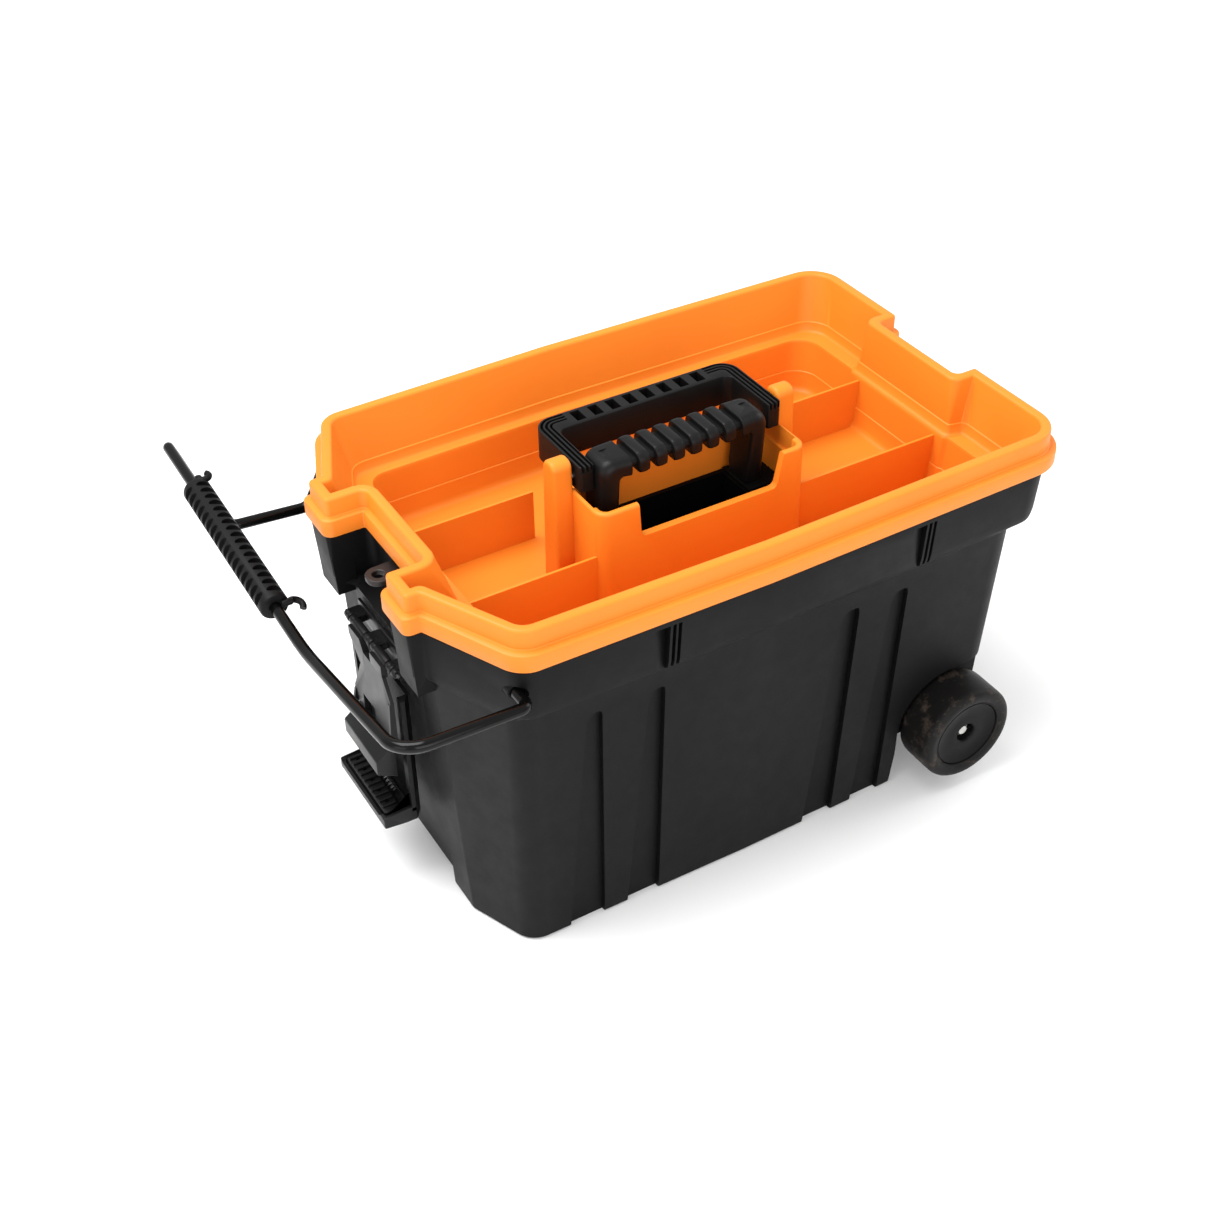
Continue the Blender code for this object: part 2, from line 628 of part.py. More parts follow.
def make_wheels(rubber, plastic, steel):
    tread = TYRE_OUT_Y - TYRE_IN_Y
    tyre = [(0.0345, 0.001), (0.0445, 0.0), (0.0480, 0.0012), (WHEEL_R, 0.006),
            (WHEEL_R, tread - 0.006), (0.0480, tread - 0.0012), (0.0445, tread),
            (0.0380, tread - 0.0005), (0.0345, tread - 0.004)]
    hub = [(0.0053, 0.0), (0.0120, 0.0), (0.0120, 0.012), (0.0300, 0.016), (0.0300, 0.002),
           (0.0342, 0.002), (0.0342, tread - 0.004), (0.0325, tread - 0.0055),
           (0.0130, tread - 0.0090), (0.0100, tread - 0.0085), (0.0100, tread - 0.0150),
           (0.0053, tread - 0.0150)]
    cap = [(AXLE_R + 0.0001, 0.0), (0.0088, 0.0), (0.0092, 0.0012), (0.0070, 0.0030),
           (AXLE_R + 0.0001, 0.0034)]
    for place, side in (("front", -1), ("rear", 1)):
        start = (AXLE_X, side * TYRE_IN_Y, AXLE_Z)
        turned(f"tyre_{place}", tyre, start, rubber, 36, side < 0)
        turned(f"hub_{place}", hub, start, plastic, 28, side < 0)
        seat = (AXLE_X, side * (TYRE_OUT_Y - 0.0145), AXLE_Z)
        turned(f"axle_cap_{place}", cap, seat, steel, 20, side < 0)
        length = TYRE_IN_Y - ARCH_Y - 2 * GAP
        spacer = [(AXLE_R + GAP, 0.0), (0.0090, 0.0), (0.0090, length), (AXLE_R + GAP, length)]
        turned(f"axle_spacer_{place}", spacer, (AXLE_X, side * (ARCH_Y + GAP), AXLE_Z),
               plastic, 24, side < 0)
    cylinder("axle", (AXLE_X, 0.0, AXLE_Z), AXLE_R, 2 * (TYRE_OUT_Y - 0.0090), "Y", steel, 24,
             0.0008)


# ---------------------------------------------------------------- bail

def make_bail(steel, rubber, plastic):
    """A wire bail: its cross bar dips to a knee, runs out past the rear arm and folds back
    under itself to that arm, which rises behind the box's corner to its bush."""
    outer_x, tip_z = BAIL_X - BAIL_REACH, BAR_Z + (BAIL_TIP_Y - KNEE_Y) * BAR_SLOPE
    under_z = BAR_Z + (BAIL_Y - KNEE_Y) * BAR_SLOPE - 0.0170
    path = bent([
        (BAIL_X, -0.1580, BAIL_Z, 0), (BAIL_X, -BAIL_Y, BAIL_Z, 0.0075),
        (outer_x, -BAIL_Y, BAIL_Z + 0.003, 0.026), (outer_x, KNEE_Y, BAR_Z, 0.30),
        (outer_x, BAIL_TIP_Y, tip_z, 0.0088),
        (outer_x + 0.0064, BAIL_TIP_Y, tip_z - 0.0170, 0.0088),
        (outer_x + 0.0064, BAIL_Y, under_z, 0.016),
        (BAIL_X - 0.020, BAIL_Y, under_z - 0.0065, 0.012),
        (BAIL_X, BAIL_Y, BAIL_Z, 0.0075), (BAIL_X, 0.1580, BAIL_Z, 0)])
    rod("bail_rod", path, ROD_R, steel)
    length = GRIP_Y1 - GRIP_Y0
    bore = ROD_R + GAP
    profile = [(bore, 0.0), (0.0110, 0.0), (GRIP_R, 0.0020), (GRIP_R, length - 0.0020),
               (0.0110, length), (bore, length)]
    grip = turned("bail_grip", profile, (outer_x, GRIP_Y0, bar_height(GRIP_Y0)), rubber, 24)
    grip.rotation_euler.x = math.atan(BAR_SLOPE)
    for y in (GRIP_Y0 + 0.004, GRIP_Y1 - 0.002):
        join(grip, make_hook(outer_x, y))
    for name, side in (("bail_bush_front", -1), ("bail_bush_rear", 1)):
        sleeve = [(ROD_R + 0.0003, 0.0), (0.0072, 0.0), (0.0072, 0.0180),
                  (0.0105, 0.0180), (0.0105, 0.0200), (ROD_R + 0.0003, 0.0200)]
        turned(name, sleeve, (BAIL_X, side * 0.1690, BAIL_Z), plastic, 24, side < 0)


def bar_height(y):
    """Height of the straight stretch of the bail's cross bar, where the grip is."""
    return BAR_Z + (y - KNEE_Y) * BAR_SLOPE


def make_hook(x, y):
    """A small open hook moulded on the end of the grip, on the side of the box."""
    z = bar_height(y) + 0.004
    arc = [Vector((x + 0.0185 - 0.0050 * math.cos(a), y - 0.0050 * math.sin(a), z))
           for a in (math.radians(28 * i) for i in range(9))]
    return rod("grip_hook", [Vector((x + 0.0080, y, z - 0.001))] + arc, 0.0026, None)


# ---------------------------------------------------------------- latch

KNUCKLES = ((-0.050, -0.034), (-0.010, 0.010), (0.034, 0.050))
PLATE_KNUCKLES = ((-0.0335, -0.0105), (0.0105, 0.0335))


def make_hinge(look, steel):
    back = -0.2821
    bracket = box("latch_bracket", (back - 0.0030, -0.051, 0.2420), (back, 0.051, 0.2600), look)
    for low, high in KNUCKLES:
        middle = (low + high) / 2
        join(bracket, box("knuckle_root", (LATCH_X, low, LATCH_Z - 0.0035),
                          (back - 0.001, high, LATCH_Z + 0.0035)),
             cylinder("knuckle", (LATCH_X, middle, LATCH_Z), 0.0045, high - low, "Y", sides=20))
    cut(bracket, cylinder("bracket_bore", (LATCH_X, 0, LATCH_Z), 0.0018, 0.12, "Y", sides=16))
    cylinder("hinge_pin", (LATCH_X, 0, LATCH_Z), 0.0015, 0.106, "Y", steel, 14, 0.0003)


def make_latch_plate(look):
    """The pull-down plate: bevelled shoulders, a window, and a folded lip at its foot."""
    outline = rounded([(-0.036, 0.135, 0.002), (0.036, 0.135, 0.002), (0.046, 0.168, 0.003),
                       (0.046, 0.212, 0.003), (0.030, 0.2430, 0.002),
                       (-0.030, 0.2430, 0.002), (-0.046, 0.212, 0.003),
                       (-0.046, 0.168, 0.003)])
    plate = slab("latch_plate", outline, -0.3030, -0.2995, "X", look)
    lip = rounded([(-0.3030, 0.122, 0.001), (-0.3030, 0.152, 0.001), (-0.2995, 0.152, 0.001),
                   (-0.2995, 0.122, 0.001)])
    block = rounded([(-0.3195, 0.1200, 0.002), (-0.3010, 0.1200, 0.001),
                     (-0.3005, 0.1600, 0.001), (-0.3165, 0.1540, 0.002)])
    join(plate, slab("lip", lip, -0.041, 0.041, "Y"), slab("lip_block", block, -0.043, 0.043, "Y"))
    for low, high in PLATE_KNUCKLES:
        middle = (low + high) / 2
        join(plate, box("plate_root", (-0.3030, low, 0.2380), (-0.2975, high, LATCH_Z)),
             cylinder("plate_knuckle", (LATCH_X, middle, LATCH_Z), 0.0045, high - low, "Y",
                      sides=20))
    cut(plate, box("window", (-0.32, -0.004, 0.166), (-0.29, 0.026, 0.188)),
        cylinder("plate_bore", (LATCH_X, 0, LATCH_Z), 0.0018, 0.12, "Y", sides=16))
    return plate


def make_latch_frame(look):
    """The housing that the plate closes into: back, two rails and a shelf."""
    back = -0.2822
    frame = box("latch_frame", (back - 0.0030, -0.050, 0.078), (back, 0.050, 0.2350), look)
    for side in (-1, 1):
        low_y, high_y = sorted((side * 0.0475, side * 0.0535))
        rail = rounded([(-0.2940, 0.084, 0.002), (back, 0.078, 0.0), (back, 0.2340, 0.0),
                        (-0.2920, 0.2340, 0.004)])
        join(frame, slab("rail", rail, low_y, high_y, "Y"))
    shelf = rounded([(-0.3215, 0.078, 0.002), (-0.300, 0.072, 0.001), (back, 0.072, 0.0),
                     (back, 0.090, 0.0), (-0.3215, 0.090, 0.002)])
    join(frame, slab("shelf", shelf, -0.0535, 0.0535, "Y"))
    cut(frame, box("shelf_tray", (-0.3180, -0.044, 0.0840), (-0.2920, 0.044, 0.1000)))
    return frame


def make_catch(look, steel):
    block = box("catch_block", (-0.3172, -0.0350, 0.0843), (-0.3020, 0.0430, 0.0910), look,
                0.001, 1)
    for i in range(9):
        y = -0.0290 + i * 0.0082
        join(block, box("rib", (-0.3165, y - 0.0018, 0.0900), (-0.3030, y + 0.0018, 0.0945)))
    rod("catch_spring", coil((-0.2965, 0.0, 0.0890), 0.0035, 0.030, 6), 0.0008, steel, 1)


def make_padlock_eye(look):
    outline = rounded([(-0.2935, -0.0110, 0.0100), (-0.2619, -0.0125, 0.001),
                       (-0.2619, 0.0125, 0.001), (-0.2935, 0.0110, 0.0100)])
    eye = slab("padlock_eye", outline, 0.3130, 0.3185, "Z", look)
    cut(eye, cylinder("eye_hole", (-0.2825, 0.0, 0.3158), 0.0052, 0.02, "Z"))
    return eye


def add_pivots():
    """Empties on the joint axes, which the moving pieces hang from."""
    pivots = {
        "wheel_front_axis": ((AXLE_X, -TYRE_OUT_Y, AXLE_Z), ("tyre_front", "hub_front")),
        "wheel_rear_axis": ((AXLE_X, TYRE_OUT_Y, AXLE_Z), ("tyre_rear", "hub_rear")),
        "bail_axis": ((BAIL_X, 0, BAIL_Z), ("bail_rod", "bail_grip")),
        "latch_axis": ((LATCH_X, 0, LATCH_Z), ("latch_plate",)),
        "fold_axis": ((0, PIVOT_Y, PIVOT_Z), ("fold_handle",)),
        "tray_lift": ((0, 0, RIM_Z), ("tray", "handle_insert", "arch_handle",
                                      "handle_pin_left", "handle_pin_right")),
    }
    for name, (place, names) in pivots.items():
        pivot = bpy.data.objects.new(name, None)
        pivot.location = place
        pivot.empty_display_size = 0.02
        parts.objects.link(pivot)
        for child in names:
            thing = bpy.data.objects[child]
            thing.parent = pivot
            thing.matrix_parent_inverse = Matrix.Translation(-Vector(place))


def main():
    global parts, cutters
    clear_scene()
    parts = collection(NAME)
    cutters = collection("cutters")
    black = material("bin_plastic", (0.030, 0.029, 0.030), 0.55)
    orange = material("tray_plastic", (0.90, 0.25, 0.02), 0.42)
    dark = material("handle_plastic", (0.025, 0.024, 0.024), 0.48)
    grey = material("latch_plastic", (0.045, 0.045, 0.047), 0.50)
    rubber = material("tyre_rubber", (0.035, 0.034, 0.034), 0.75)
    soft = material("grip_rubber", (0.022, 0.022, 0.022), 0.65)
    painted = material("bail_steel", (0.018, 0.017, 0.017), 0.35, 0.2)
    zinc = material("zinc_steel", (0.62, 0.61, 0.58), 0.35, 1.0)
    brown = material("eye_steel", (0.055, 0.038, 0.032), 0.55, 0.4)
    make_bin(black)
    make_tray(orange)
    make_insert(dark)
    make_arch(dark)
    make_fold_handle(dark)
    make_handle_pins(zinc)
    make_wheels(rubber, dark, zinc)
    make_bail(painted, soft, dark)
    make_hinge(grey, zinc)
    make_latch_plate(grey)
    make_latch_frame(grey)
    make_catch(dark, zinc)
    make_padlock_eye(brown)
    add_pivots()


main()
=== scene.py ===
import json
import math

import bmesh
import bpy
from mathutils import Matrix, Vector

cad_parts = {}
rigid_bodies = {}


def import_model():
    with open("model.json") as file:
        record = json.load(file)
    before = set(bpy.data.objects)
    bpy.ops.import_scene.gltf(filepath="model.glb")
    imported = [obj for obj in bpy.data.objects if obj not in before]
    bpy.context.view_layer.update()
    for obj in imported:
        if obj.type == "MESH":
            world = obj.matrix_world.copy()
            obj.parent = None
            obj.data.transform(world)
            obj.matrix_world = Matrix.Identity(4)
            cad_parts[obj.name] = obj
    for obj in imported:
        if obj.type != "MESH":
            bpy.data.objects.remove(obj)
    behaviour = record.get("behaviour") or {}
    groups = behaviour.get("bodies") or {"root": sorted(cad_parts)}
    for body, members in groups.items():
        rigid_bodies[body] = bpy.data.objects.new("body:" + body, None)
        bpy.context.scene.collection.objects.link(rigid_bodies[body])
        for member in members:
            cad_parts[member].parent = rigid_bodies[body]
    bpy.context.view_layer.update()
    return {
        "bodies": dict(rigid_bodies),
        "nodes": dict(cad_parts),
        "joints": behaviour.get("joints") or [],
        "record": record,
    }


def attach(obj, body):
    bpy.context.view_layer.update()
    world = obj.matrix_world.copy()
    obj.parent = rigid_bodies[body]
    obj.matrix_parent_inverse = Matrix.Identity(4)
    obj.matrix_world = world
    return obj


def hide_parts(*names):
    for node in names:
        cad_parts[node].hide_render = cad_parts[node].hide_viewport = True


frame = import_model()
NODES = frame["nodes"]


# ---------------------------------------------------------------- materials

def noise(tree, coords, scale, detail=4.0, rough=0.55):
    """A noise value from 0 to 1 at the given coordinates."""
    made = tree.nodes.new("ShaderNodeTexNoise")
    made.inputs["Scale"].default_value = scale
    made.inputs["Detail"].default_value = detail
    made.inputs["Roughness"].default_value = rough
    tree.links.new(coords, made.inputs["Vector"])
    return made.outputs["Fac"]


def ramp(tree, value, low, high, start=0.35, end=0.65):
    """Maps a value from start..end to low..high."""
    made = tree.nodes.new("ShaderNodeMapRange")
    made.inputs["From Min"].default_value = start
    made.inputs["From Max"].default_value = end
    made.inputs["To Min"].default_value = low
    made.inputs["To Max"].default_value = high
    tree.links.new(value, made.inputs["Value"])
    return made.outputs["Result"]


def mix(tree, factor, a, b):
    """Blends colour a, a colour or a socket, into colour b."""
    made = tree.nodes.new("ShaderNodeMix")
    made.data_type = "RGBA"
    tree.links.new(factor, made.inputs["Factor"])
    for socket, colour in ((made.inputs[6], a), (made.inputs[7], b)):
        if isinstance(colour, tuple):
            socket.default_value = (*colour, 1.0)
        else:
            tree.links.new(colour, socket)
    return made.outputs[2]


def start_material(name):
    """A new material, its node tree, its shader and its object coordinates."""
    made = bpy.data.materials.new(name)
    made.use_nodes = True
    tree = made.node_tree
    coords = tree.nodes.new("ShaderNodeTexCoord").outputs["Object"]
    return made, tree, tree.nodes["Principled BSDF"], coords


def grain_bump(tree, shader, height, strength, depth):
    relief = tree.nodes.new("ShaderNodeBump")
    relief.inputs["Strength"].default_value = strength
    relief.inputs["Distance"].default_value = depth
    tree.links.new(height, relief.inputs["Height"])
    tree.links.new(relief.outputs["Normal"], shader.inputs["Normal"])


def plastic(name, colour, other, rough, grain, bump, specular, spread=9.0, scuff=None,
            worn=(0.54, 0.72)):
    """Moulded plastic: slow colour drift, grain in the surface, uneven gloss, and scuff marks
    of a (colour, strength) where the wear noise lies in the worn range or above."""
    made, tree, shader, coords = start_material(name)
    drift = noise(tree, coords, spread, 3.0)
    fine = noise(tree, coords, grain, 2.0, 0.6)
    base = mix(tree, ramp(tree, drift, 0.0, 1.0), colour, other)
    gloss = ramp(tree, noise(tree, coords, spread * 5, 5.0, 0.7), rough - 0.03, rough + 0.04)
    if scuff:
        marks = ramp(tree, noise(tree, coords, 34.0, 9.0, 0.75), 0.0, scuff[1], *worn)
        base = mix(tree, marks, base, scuff[0])
    tree.links.new(base, shader.inputs["Base Color"])
    tree.links.new(gloss, shader.inputs["Roughness"])
    shader.inputs["Specular IOR Level"].default_value = specular
    grain_bump(tree, shader, fine, bump, 0.0004)
    return made


def metal(name, colour, rough, metallic, bump, wear=None, specular=0.5):
    """Bare or painted metal: cloudy colour and gloss, and spots of a wear colour."""
    made, tree, shader, coords = start_material(name)
    fine = noise(tree, coords, 600.0, 3.0)
    broad = noise(tree, coords, 45.0, 6.0, 0.65)
    dark = tuple(c * 0.72 for c in colour)
    base = mix(tree, ramp(tree, broad, 0.0, 1.0), colour, dark)
    if wear:
        base = mix(tree, ramp(tree, noise(tree, coords, 120.0, 8.0, 0.7), 0.0, 0.8, 0.62, 0.72),
                   base, wear)
    tree.links.new(base, shader.inputs["Base Color"])
    tree.links.new(ramp(tree, broad, rough - 0.07, rough + 0.09), shader.inputs["Roughness"])
    shader.inputs["Metallic"].default_value = metallic
    shader.inputs["Specular IOR Level"].default_value = specular
    grain_bump(tree, shader, fine, bump, 0.0002)
    return made


BLACK = plastic("black_bin", (0.0038, 0.0037, 0.0038), (0.0048, 0.0046, 0.0047),
                rough=0.50, grain=900.0, bump=0.10, specular=0.10)
ORANGE = plastic("orange_tray", (0.76, 0.218, 0.0170), (0.73, 0.203, 0.0150),
                 rough=0.46, grain=700.0, bump=0.05, specular=0.28, spread=7.0)
HANDLE = plastic("black_handle", (0.0034, 0.0033, 0.0033), (0.0048, 0.0046, 0.0046),
                 rough=0.40, grain=1100.0, bump=0.15, specular=0.17)
LINER = plastic("dark_liner", (0.0012, 0.0012, 0.0012), (0.0018, 0.0017, 0.0017),
                rough=0.6, grain=800.0, bump=0.1, specular=0.06)
LATCH = plastic("latch_grey", (0.005, 0.005, 0.0053), (0.008, 0.008, 0.0084),
                rough=0.34, grain=800.0, bump=0.12, specular=0.20, scuff=((0.03, 0.03, 0.03), 0.2))
TYRE = plastic("tyre_worn", (0.0045, 0.0041, 0.0040), (0.0070, 0.0064, 0.0060),
               rough=0.50, grain=500.0, bump=0.2, specular=0.14,
               scuff=((0.075, 0.056, 0.044), 0.75), worn=(0.52, 0.66))
HUB = plastic("black_hub", (0.0026, 0.0025, 0.0026), (0.0045, 0.0043, 0.0044),
              rough=0.36, grain=700.0, bump=0.12, specular=0.08, scuff=((0.022, 0.020, 0.019), 0.2))
GRIP = plastic("grip_rubber", (0.0032, 0.0032, 0.0032), (0.0045, 0.0045, 0.0045),
               rough=0.50, grain=1200.0, bump=0.12, specular=0.14)
ROD = metal("bail_paint", (0.0022, 0.0021, 0.0021), rough=0.16, metallic=0.0, bump=0.03,
            specular=0.19)
ZINC = metal("zinc", (0.66, 0.65, 0.62), rough=0.32, metallic=1.0, bump=0.2)
BROWN = metal("brown_steel", (0.012, 0.0070, 0.0055), rough=0.5, metallic=0.1, bump=0.2,
              wear=(0.030, 0.018, 0.014))

LOOKS = {"bin_plastic": BLACK, "tray_plastic": ORANGE, "handle_plastic": HANDLE,
         "latch_plastic": LATCH, "tyre_rubber": TYRE, "grip_rubber": GRIP,
         "bail_steel": ROD, "zinc_steel": ZINC, "eye_steel": BROWN}
DARK_STEEL = metal("dark_steel", (0.10, 0.10, 0.10), rough=0.4, metallic=0.8, bump=0.2)
IN_DARK_STEEL = ("hinge_pin", "catch_spring")

for part in frame["record"]["subparts"]:
    thing = NODES[part["node"]]
    thing.data.materials.clear()
    thing.data.materials.append(DARK_STEEL if part["node"] in IN_DARK_STEEL
                                else LOOKS[part["material_slot"]])


# ---------------------------------------------------------------- shapes

def finish_mesh(name, made, angle=35):
    """An object from a bmesh, shaded smooth below the angle between faces."""
    bmesh.ops.recalc_face_normals(made, faces=made.faces)
    mesh = bpy.data.meshes.new(name)
    made.to_mesh(mesh)
    made.free()
    mesh.shade_smooth()
    mesh.set_sharp_from_angle(angle=math.radians(angle))
    thing = bpy.data.objects.new(name, mesh)
    bpy.context.scene.collection.objects.link(thing)
    return thing


def bake(thing, angle=35):
    """Applies a piece's modifiers."""
    bpy.context.view_layer.update()
    graph = bpy.context.evaluated_depsgraph_get()
    mesh = bpy.data.meshes.new_from_object(thing.evaluated_get(graph))
    mesh.transform(thing.matrix_world)
    thing.modifiers.clear()
    thing.data = mesh
    thing.matrix_world = Matrix.Identity(4)
    mesh.shade_smooth()
    mesh.set_sharp_from_angle(angle=math.radians(angle))
    return thing


def combine(thing, tools, operation):
    """Joins the tools to a piece or cuts them from it, and removes them."""
    for tool in tools:
        step = thing.modifiers.new("b", "BOOLEAN")
        step.operation = operation
        step.solver = "EXACT"
        step.object = tool
    bake(thing)
    for tool in tools:
        bpy.data.objects.remove(tool, do_unlink=True)
    return thing


def cut(thing, *tools):
    return combine(thing, tools, "DIFFERENCE")


def join(thing, *tools):
    return combine(thing, tools, "UNION")


def soften(thing, width, segments=2, limit=40):
    """Rounds a piece's sharp edges."""
    step = thing.modifiers.new("edges", "BEVEL")
    step.width = width
    step.segments = segments
    step.limit_method = "ANGLE"
    step.angle_limit = math.radians(limit)
    step.use_clamp_overlap = True
    step.harden_normals = False
    step.miter_outer = "MITER_ARC"
    return thing


def fillet(before, corner, after, radius, steps):
    """An arc round a corner, no longer than the sides beside it allow."""
    a = Vector(before) - Vector(corner)
    b = Vector(after) - Vector(corner)
    turn = math.pi - a.angle(b)
    if turn < 0.02:     # nearly straight: points spread along the line
        along = b.normalized() * 0.003
        return [Vector(corner) + along * (2 * i / steps - 1) for i in range(steps + 1)]
    reach = min(radius * math.tan(turn / 2), 0.48 * a.length, 0.48 * b.length)
    radius = reach / math.tan(turn / 2)
    start = Vector(corner) + a.normalized() * reach
    end = Vector(corner) + b.normalized() * reach
    middle = (a.normalized() + b.normalized()).normalized()
    centre = Vector(corner) + middle * (radius / math.cos(turn / 2))
    u, v = start - centre, end - centre
    sweep = u.angle(v)
    return [centre + (math.sin((1 - i / steps) * sweep) * u + math.sin(i / steps * sweep) * v)
            / math.sin(sweep) for i in range(steps + 1)]


def ring(corners, z, grow=0.0):
    """A closed, rounded outline at one height, moved outwards by grow.
    A corner is (x, y, radius, arc steps)."""
    count = len(corners)
    flat = [Vector(c[:2]) for c in corners]
    moved = []
    for i, here in enumerate(flat):
        into = (here - flat[i - 1]).normalized()
        out = (flat[(i + 1) % count] - here).normalized()
        n0, n1 = Vector((into.y, -into.x)), Vector((out.y, -out.x))
        moved.append(here + (n0 + n1) * (grow / (1 + n0.dot(n1))))
    points = []
    for i, here in enumerate(moved):
        radius, steps = corners[i][2:]
        into, out = flat[i] - flat[i - 1], flat[(i + 1) % count] - flat[i]
        bulges = into.x * out.y - into.y * out.x > 0
        radius = max(radius + (grow if bulges else -grow), 0.0012)
        arc = [here] if steps == 0 else fillet(moved[i - 1], here, moved[(i + 1) % count],
                                               radius, steps)
        points += [(p.x, p.y, z) for p in arc]
    return points


def loft(name, rings, angle=35):
    """A closed solid through rings that all have the same number of points."""
    made = bmesh.new()
    rows = [[made.verts.new(p) for p in points] for points in rings]
    for low, high in zip(rows, rows[1:]):
        for i in range(len(low)):
            j = (i + 1) % len(low)
            made.faces.new((low[i], low[j], high[j], high[i]))
    made.faces.new(rows[0][::-1])
    made.faces.new(rows[-1])
    bmesh.ops.recalc_face_normals(made, faces=made.faces)
    bmesh.ops.triangulate(made, faces=made.faces)
    return finish_mesh(name, made, angle)


def box(name, low, high, bevel=0.0, segments=2):
    """A box between two opposite corners."""
    made = bmesh.new()
    low, high = Vector(low), Vector(high)
    place = Matrix.Translation((low + high) / 2) @ Matrix.Diagonal((*(high - low), 1))
    bmesh.ops.create_cube(made, size=1.0, matrix=place)
    if bevel:
        bmesh.ops.bevel(made, geom=made.edges[:], offset=bevel, segments=segments,
                        profile=0.5, affect="EDGES", clamp_overlap=True)
    return finish_mesh(name, made)


AXES = {"X": Matrix.Rotation(math.pi / 2, 4, "Y"), "Y": Matrix.Rotation(math.pi / 2, 4, "X"),
        "Z": Matrix.Identity(4)}


def cylinder(name, centre, radius, length, axis, sides=32, bevel=0.0):
    made = bmesh.new()
    bmesh.ops.create_cone(made, cap_ends=True, segments=sides, radius1=radius,
                          radius2=radius, depth=length,
                          matrix=Matrix.Translation(centre) @ AXES[axis])
    if bevel:
        caps = [e for e in made.edges if any(len(f.verts) > 4 for f in e.link_faces)]
        bmesh.ops.bevel(made, geom=caps, offset=bevel, segments=3, profile=0.5,
                        affect="EDGES", clamp_overlap=True)
    return finish_mesh(name, made)


def slab(name, outline, low, high, axis):
    """An outline in the other two axes, drawn out from low to high along one axis."""
    made = bmesh.new()
    place = {"X": lambda u, v: (low, u, v), "Y": lambda u, v: (u, low, v),
             "Z": lambda u, v: (u, v, low)}[axis]
    face = made.faces.new([made.verts.new(place(u, v)) for u, v in outline])
    grown = bmesh.ops.extrude_face_region(made, geom=[face])["geom"]
    moved = [g for g in grown if isinstance(g, bmesh.types.BMVert)]
    along = Vector([high - low if letter == axis else 0.0 for letter in "XYZ"])
    bmesh.ops.translate(made, verts=moved, vec=along)
    return finish_mesh(name, made)


def rounded(corners, steps=6):
    """A flat rounded outline from (u, v, radius) corners."""
    return [(p[0], p[1]) for p in ring([(*c, steps if c[2] else 0) for c in corners], 0.0)]


def turned(name, profile, centre, steps=64, flip=False, angle=35):
    """A closed profile of (radius, distance along Y) turned about the Y axis at centre."""
    made = bmesh.new()
    side = -1 if flip else 1
    rows = []
    for i in range(steps):
        a = 2 * math.pi * i / steps
        rows.append([made.verts.new((centre[0] + r * math.cos(a), centre[1] + side * y,
                                     centre[2] + r * math.sin(a))) for r, y in profile])
    count = len(profile)
    for i, row in enumerate(rows):
        after = rows[(i + 1) % steps]
        for k in range(count):
            j = (k + 1) % count
            made.faces.new((row[k], row[j], after[j], after[k]))
    return finish_mesh(name, made, angle)


def bent(points, steps=10):
    """A path through (x, y, z, bend radius) points, with each bend an arc."""
    places = [Vector(p[:3]) for p in points]
    path = [places[0]]
    for i in range(1, len(points) - 1):
        path += fillet(places[i - 1], places[i], places[i + 1], points[i][3], steps)
    return path + [places[-1]]


def rod(name, path, radius, resolution=4):
    """A round wire along a path, as a mesh with closed ends."""
    line = bpy.data.curves.new(name, "CURVE")
    line.dimensions = "3D"
    line.bevel_depth = radius
    line.bevel_resolution = resolution
    line.use_fill_caps = True
    spline = line.splines.new("POLY")
    spline.points.add(len(path) - 1)
    for point, place in zip(spline.points, path):
        point.co = (*place, 1.0)
    wire = bpy.data.objects.new(name + "_path", line)
    bpy.context.scene.collection.objects.link(wire)
    bpy.context.view_layer.update()
    solid = bpy.data.meshes.new_from_object(
        wire.evaluated_get(bpy.context.evaluated_depsgraph_get()))
    made = bmesh.new()
    made.from_mesh(solid)
    bmesh.ops.remove_doubles(made, verts=made.verts, dist=1e-6)
    bpy.data.objects.remove(wire, do_unlink=True)
    bpy.data.curves.remove(line)
    bpy.data.meshes.remove(solid)
    return finish_mesh(name, made, 50)


def piece(thing, body, look, slot, *nodes):
    """A finished piece: its look, the body it rides on and the CAD nodes it stands for."""
    thing.data.materials.clear()
    thing.data.materials.append(look)
    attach(thing, body)
    if nodes:
        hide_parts(*nodes)
    return thing


# ---------------------------------------------------------------- driving dimensions, in metres

RIM_Z = 0.364                       # top of the tray's rim
WALL_TOP_Z = 0.268                  # where the bin's plain walls end and its flange starts
HALF_Y, HALF_Y_LEAN = 0.1685, 0.006     # half the bin's width at the bottom, and its growth
RAISED_X, RAISED_Z = 0.1500, 0.046      # the underside is raised from here to the wheel end
AXLE_X, AXLE_Z, AXLE_BORE_R = 0.211, 0.064, 0.0053
WHEEL_ARCH_R, WHEEL_Y, WHEEL_WIDTH = 0.056, 0.164, 0.045
BAIL_X, BAIL_Z = -0.248, 0.303      # where the bail's ends enter the flange
BUSH_Y, BUSH_LENGTH, BUSH_HOLE_R = 0.1580, 0.0176, 0.0075
HANDLE_PIN_Y, HANDLE_PIN_Z, HANDLE_PIN_HOLE_R = -0.012, RIM_Z - 0.004, 0.0033
HINGE_X, HINGE_Z, HINGE_HOLE_R = -0.2955, 0.250, 0.0018     # the latch's pin
REAR_CORNER_OUT = 0.0048            # the rear corner at the latch end stands out this much more


# ---------------------------------------------------------------- outlines

def both_sides(half):
    """A full outline from the half with y > 0."""
    return half + [(x, -y, r, s) for x, y, r, s in reversed(half)]


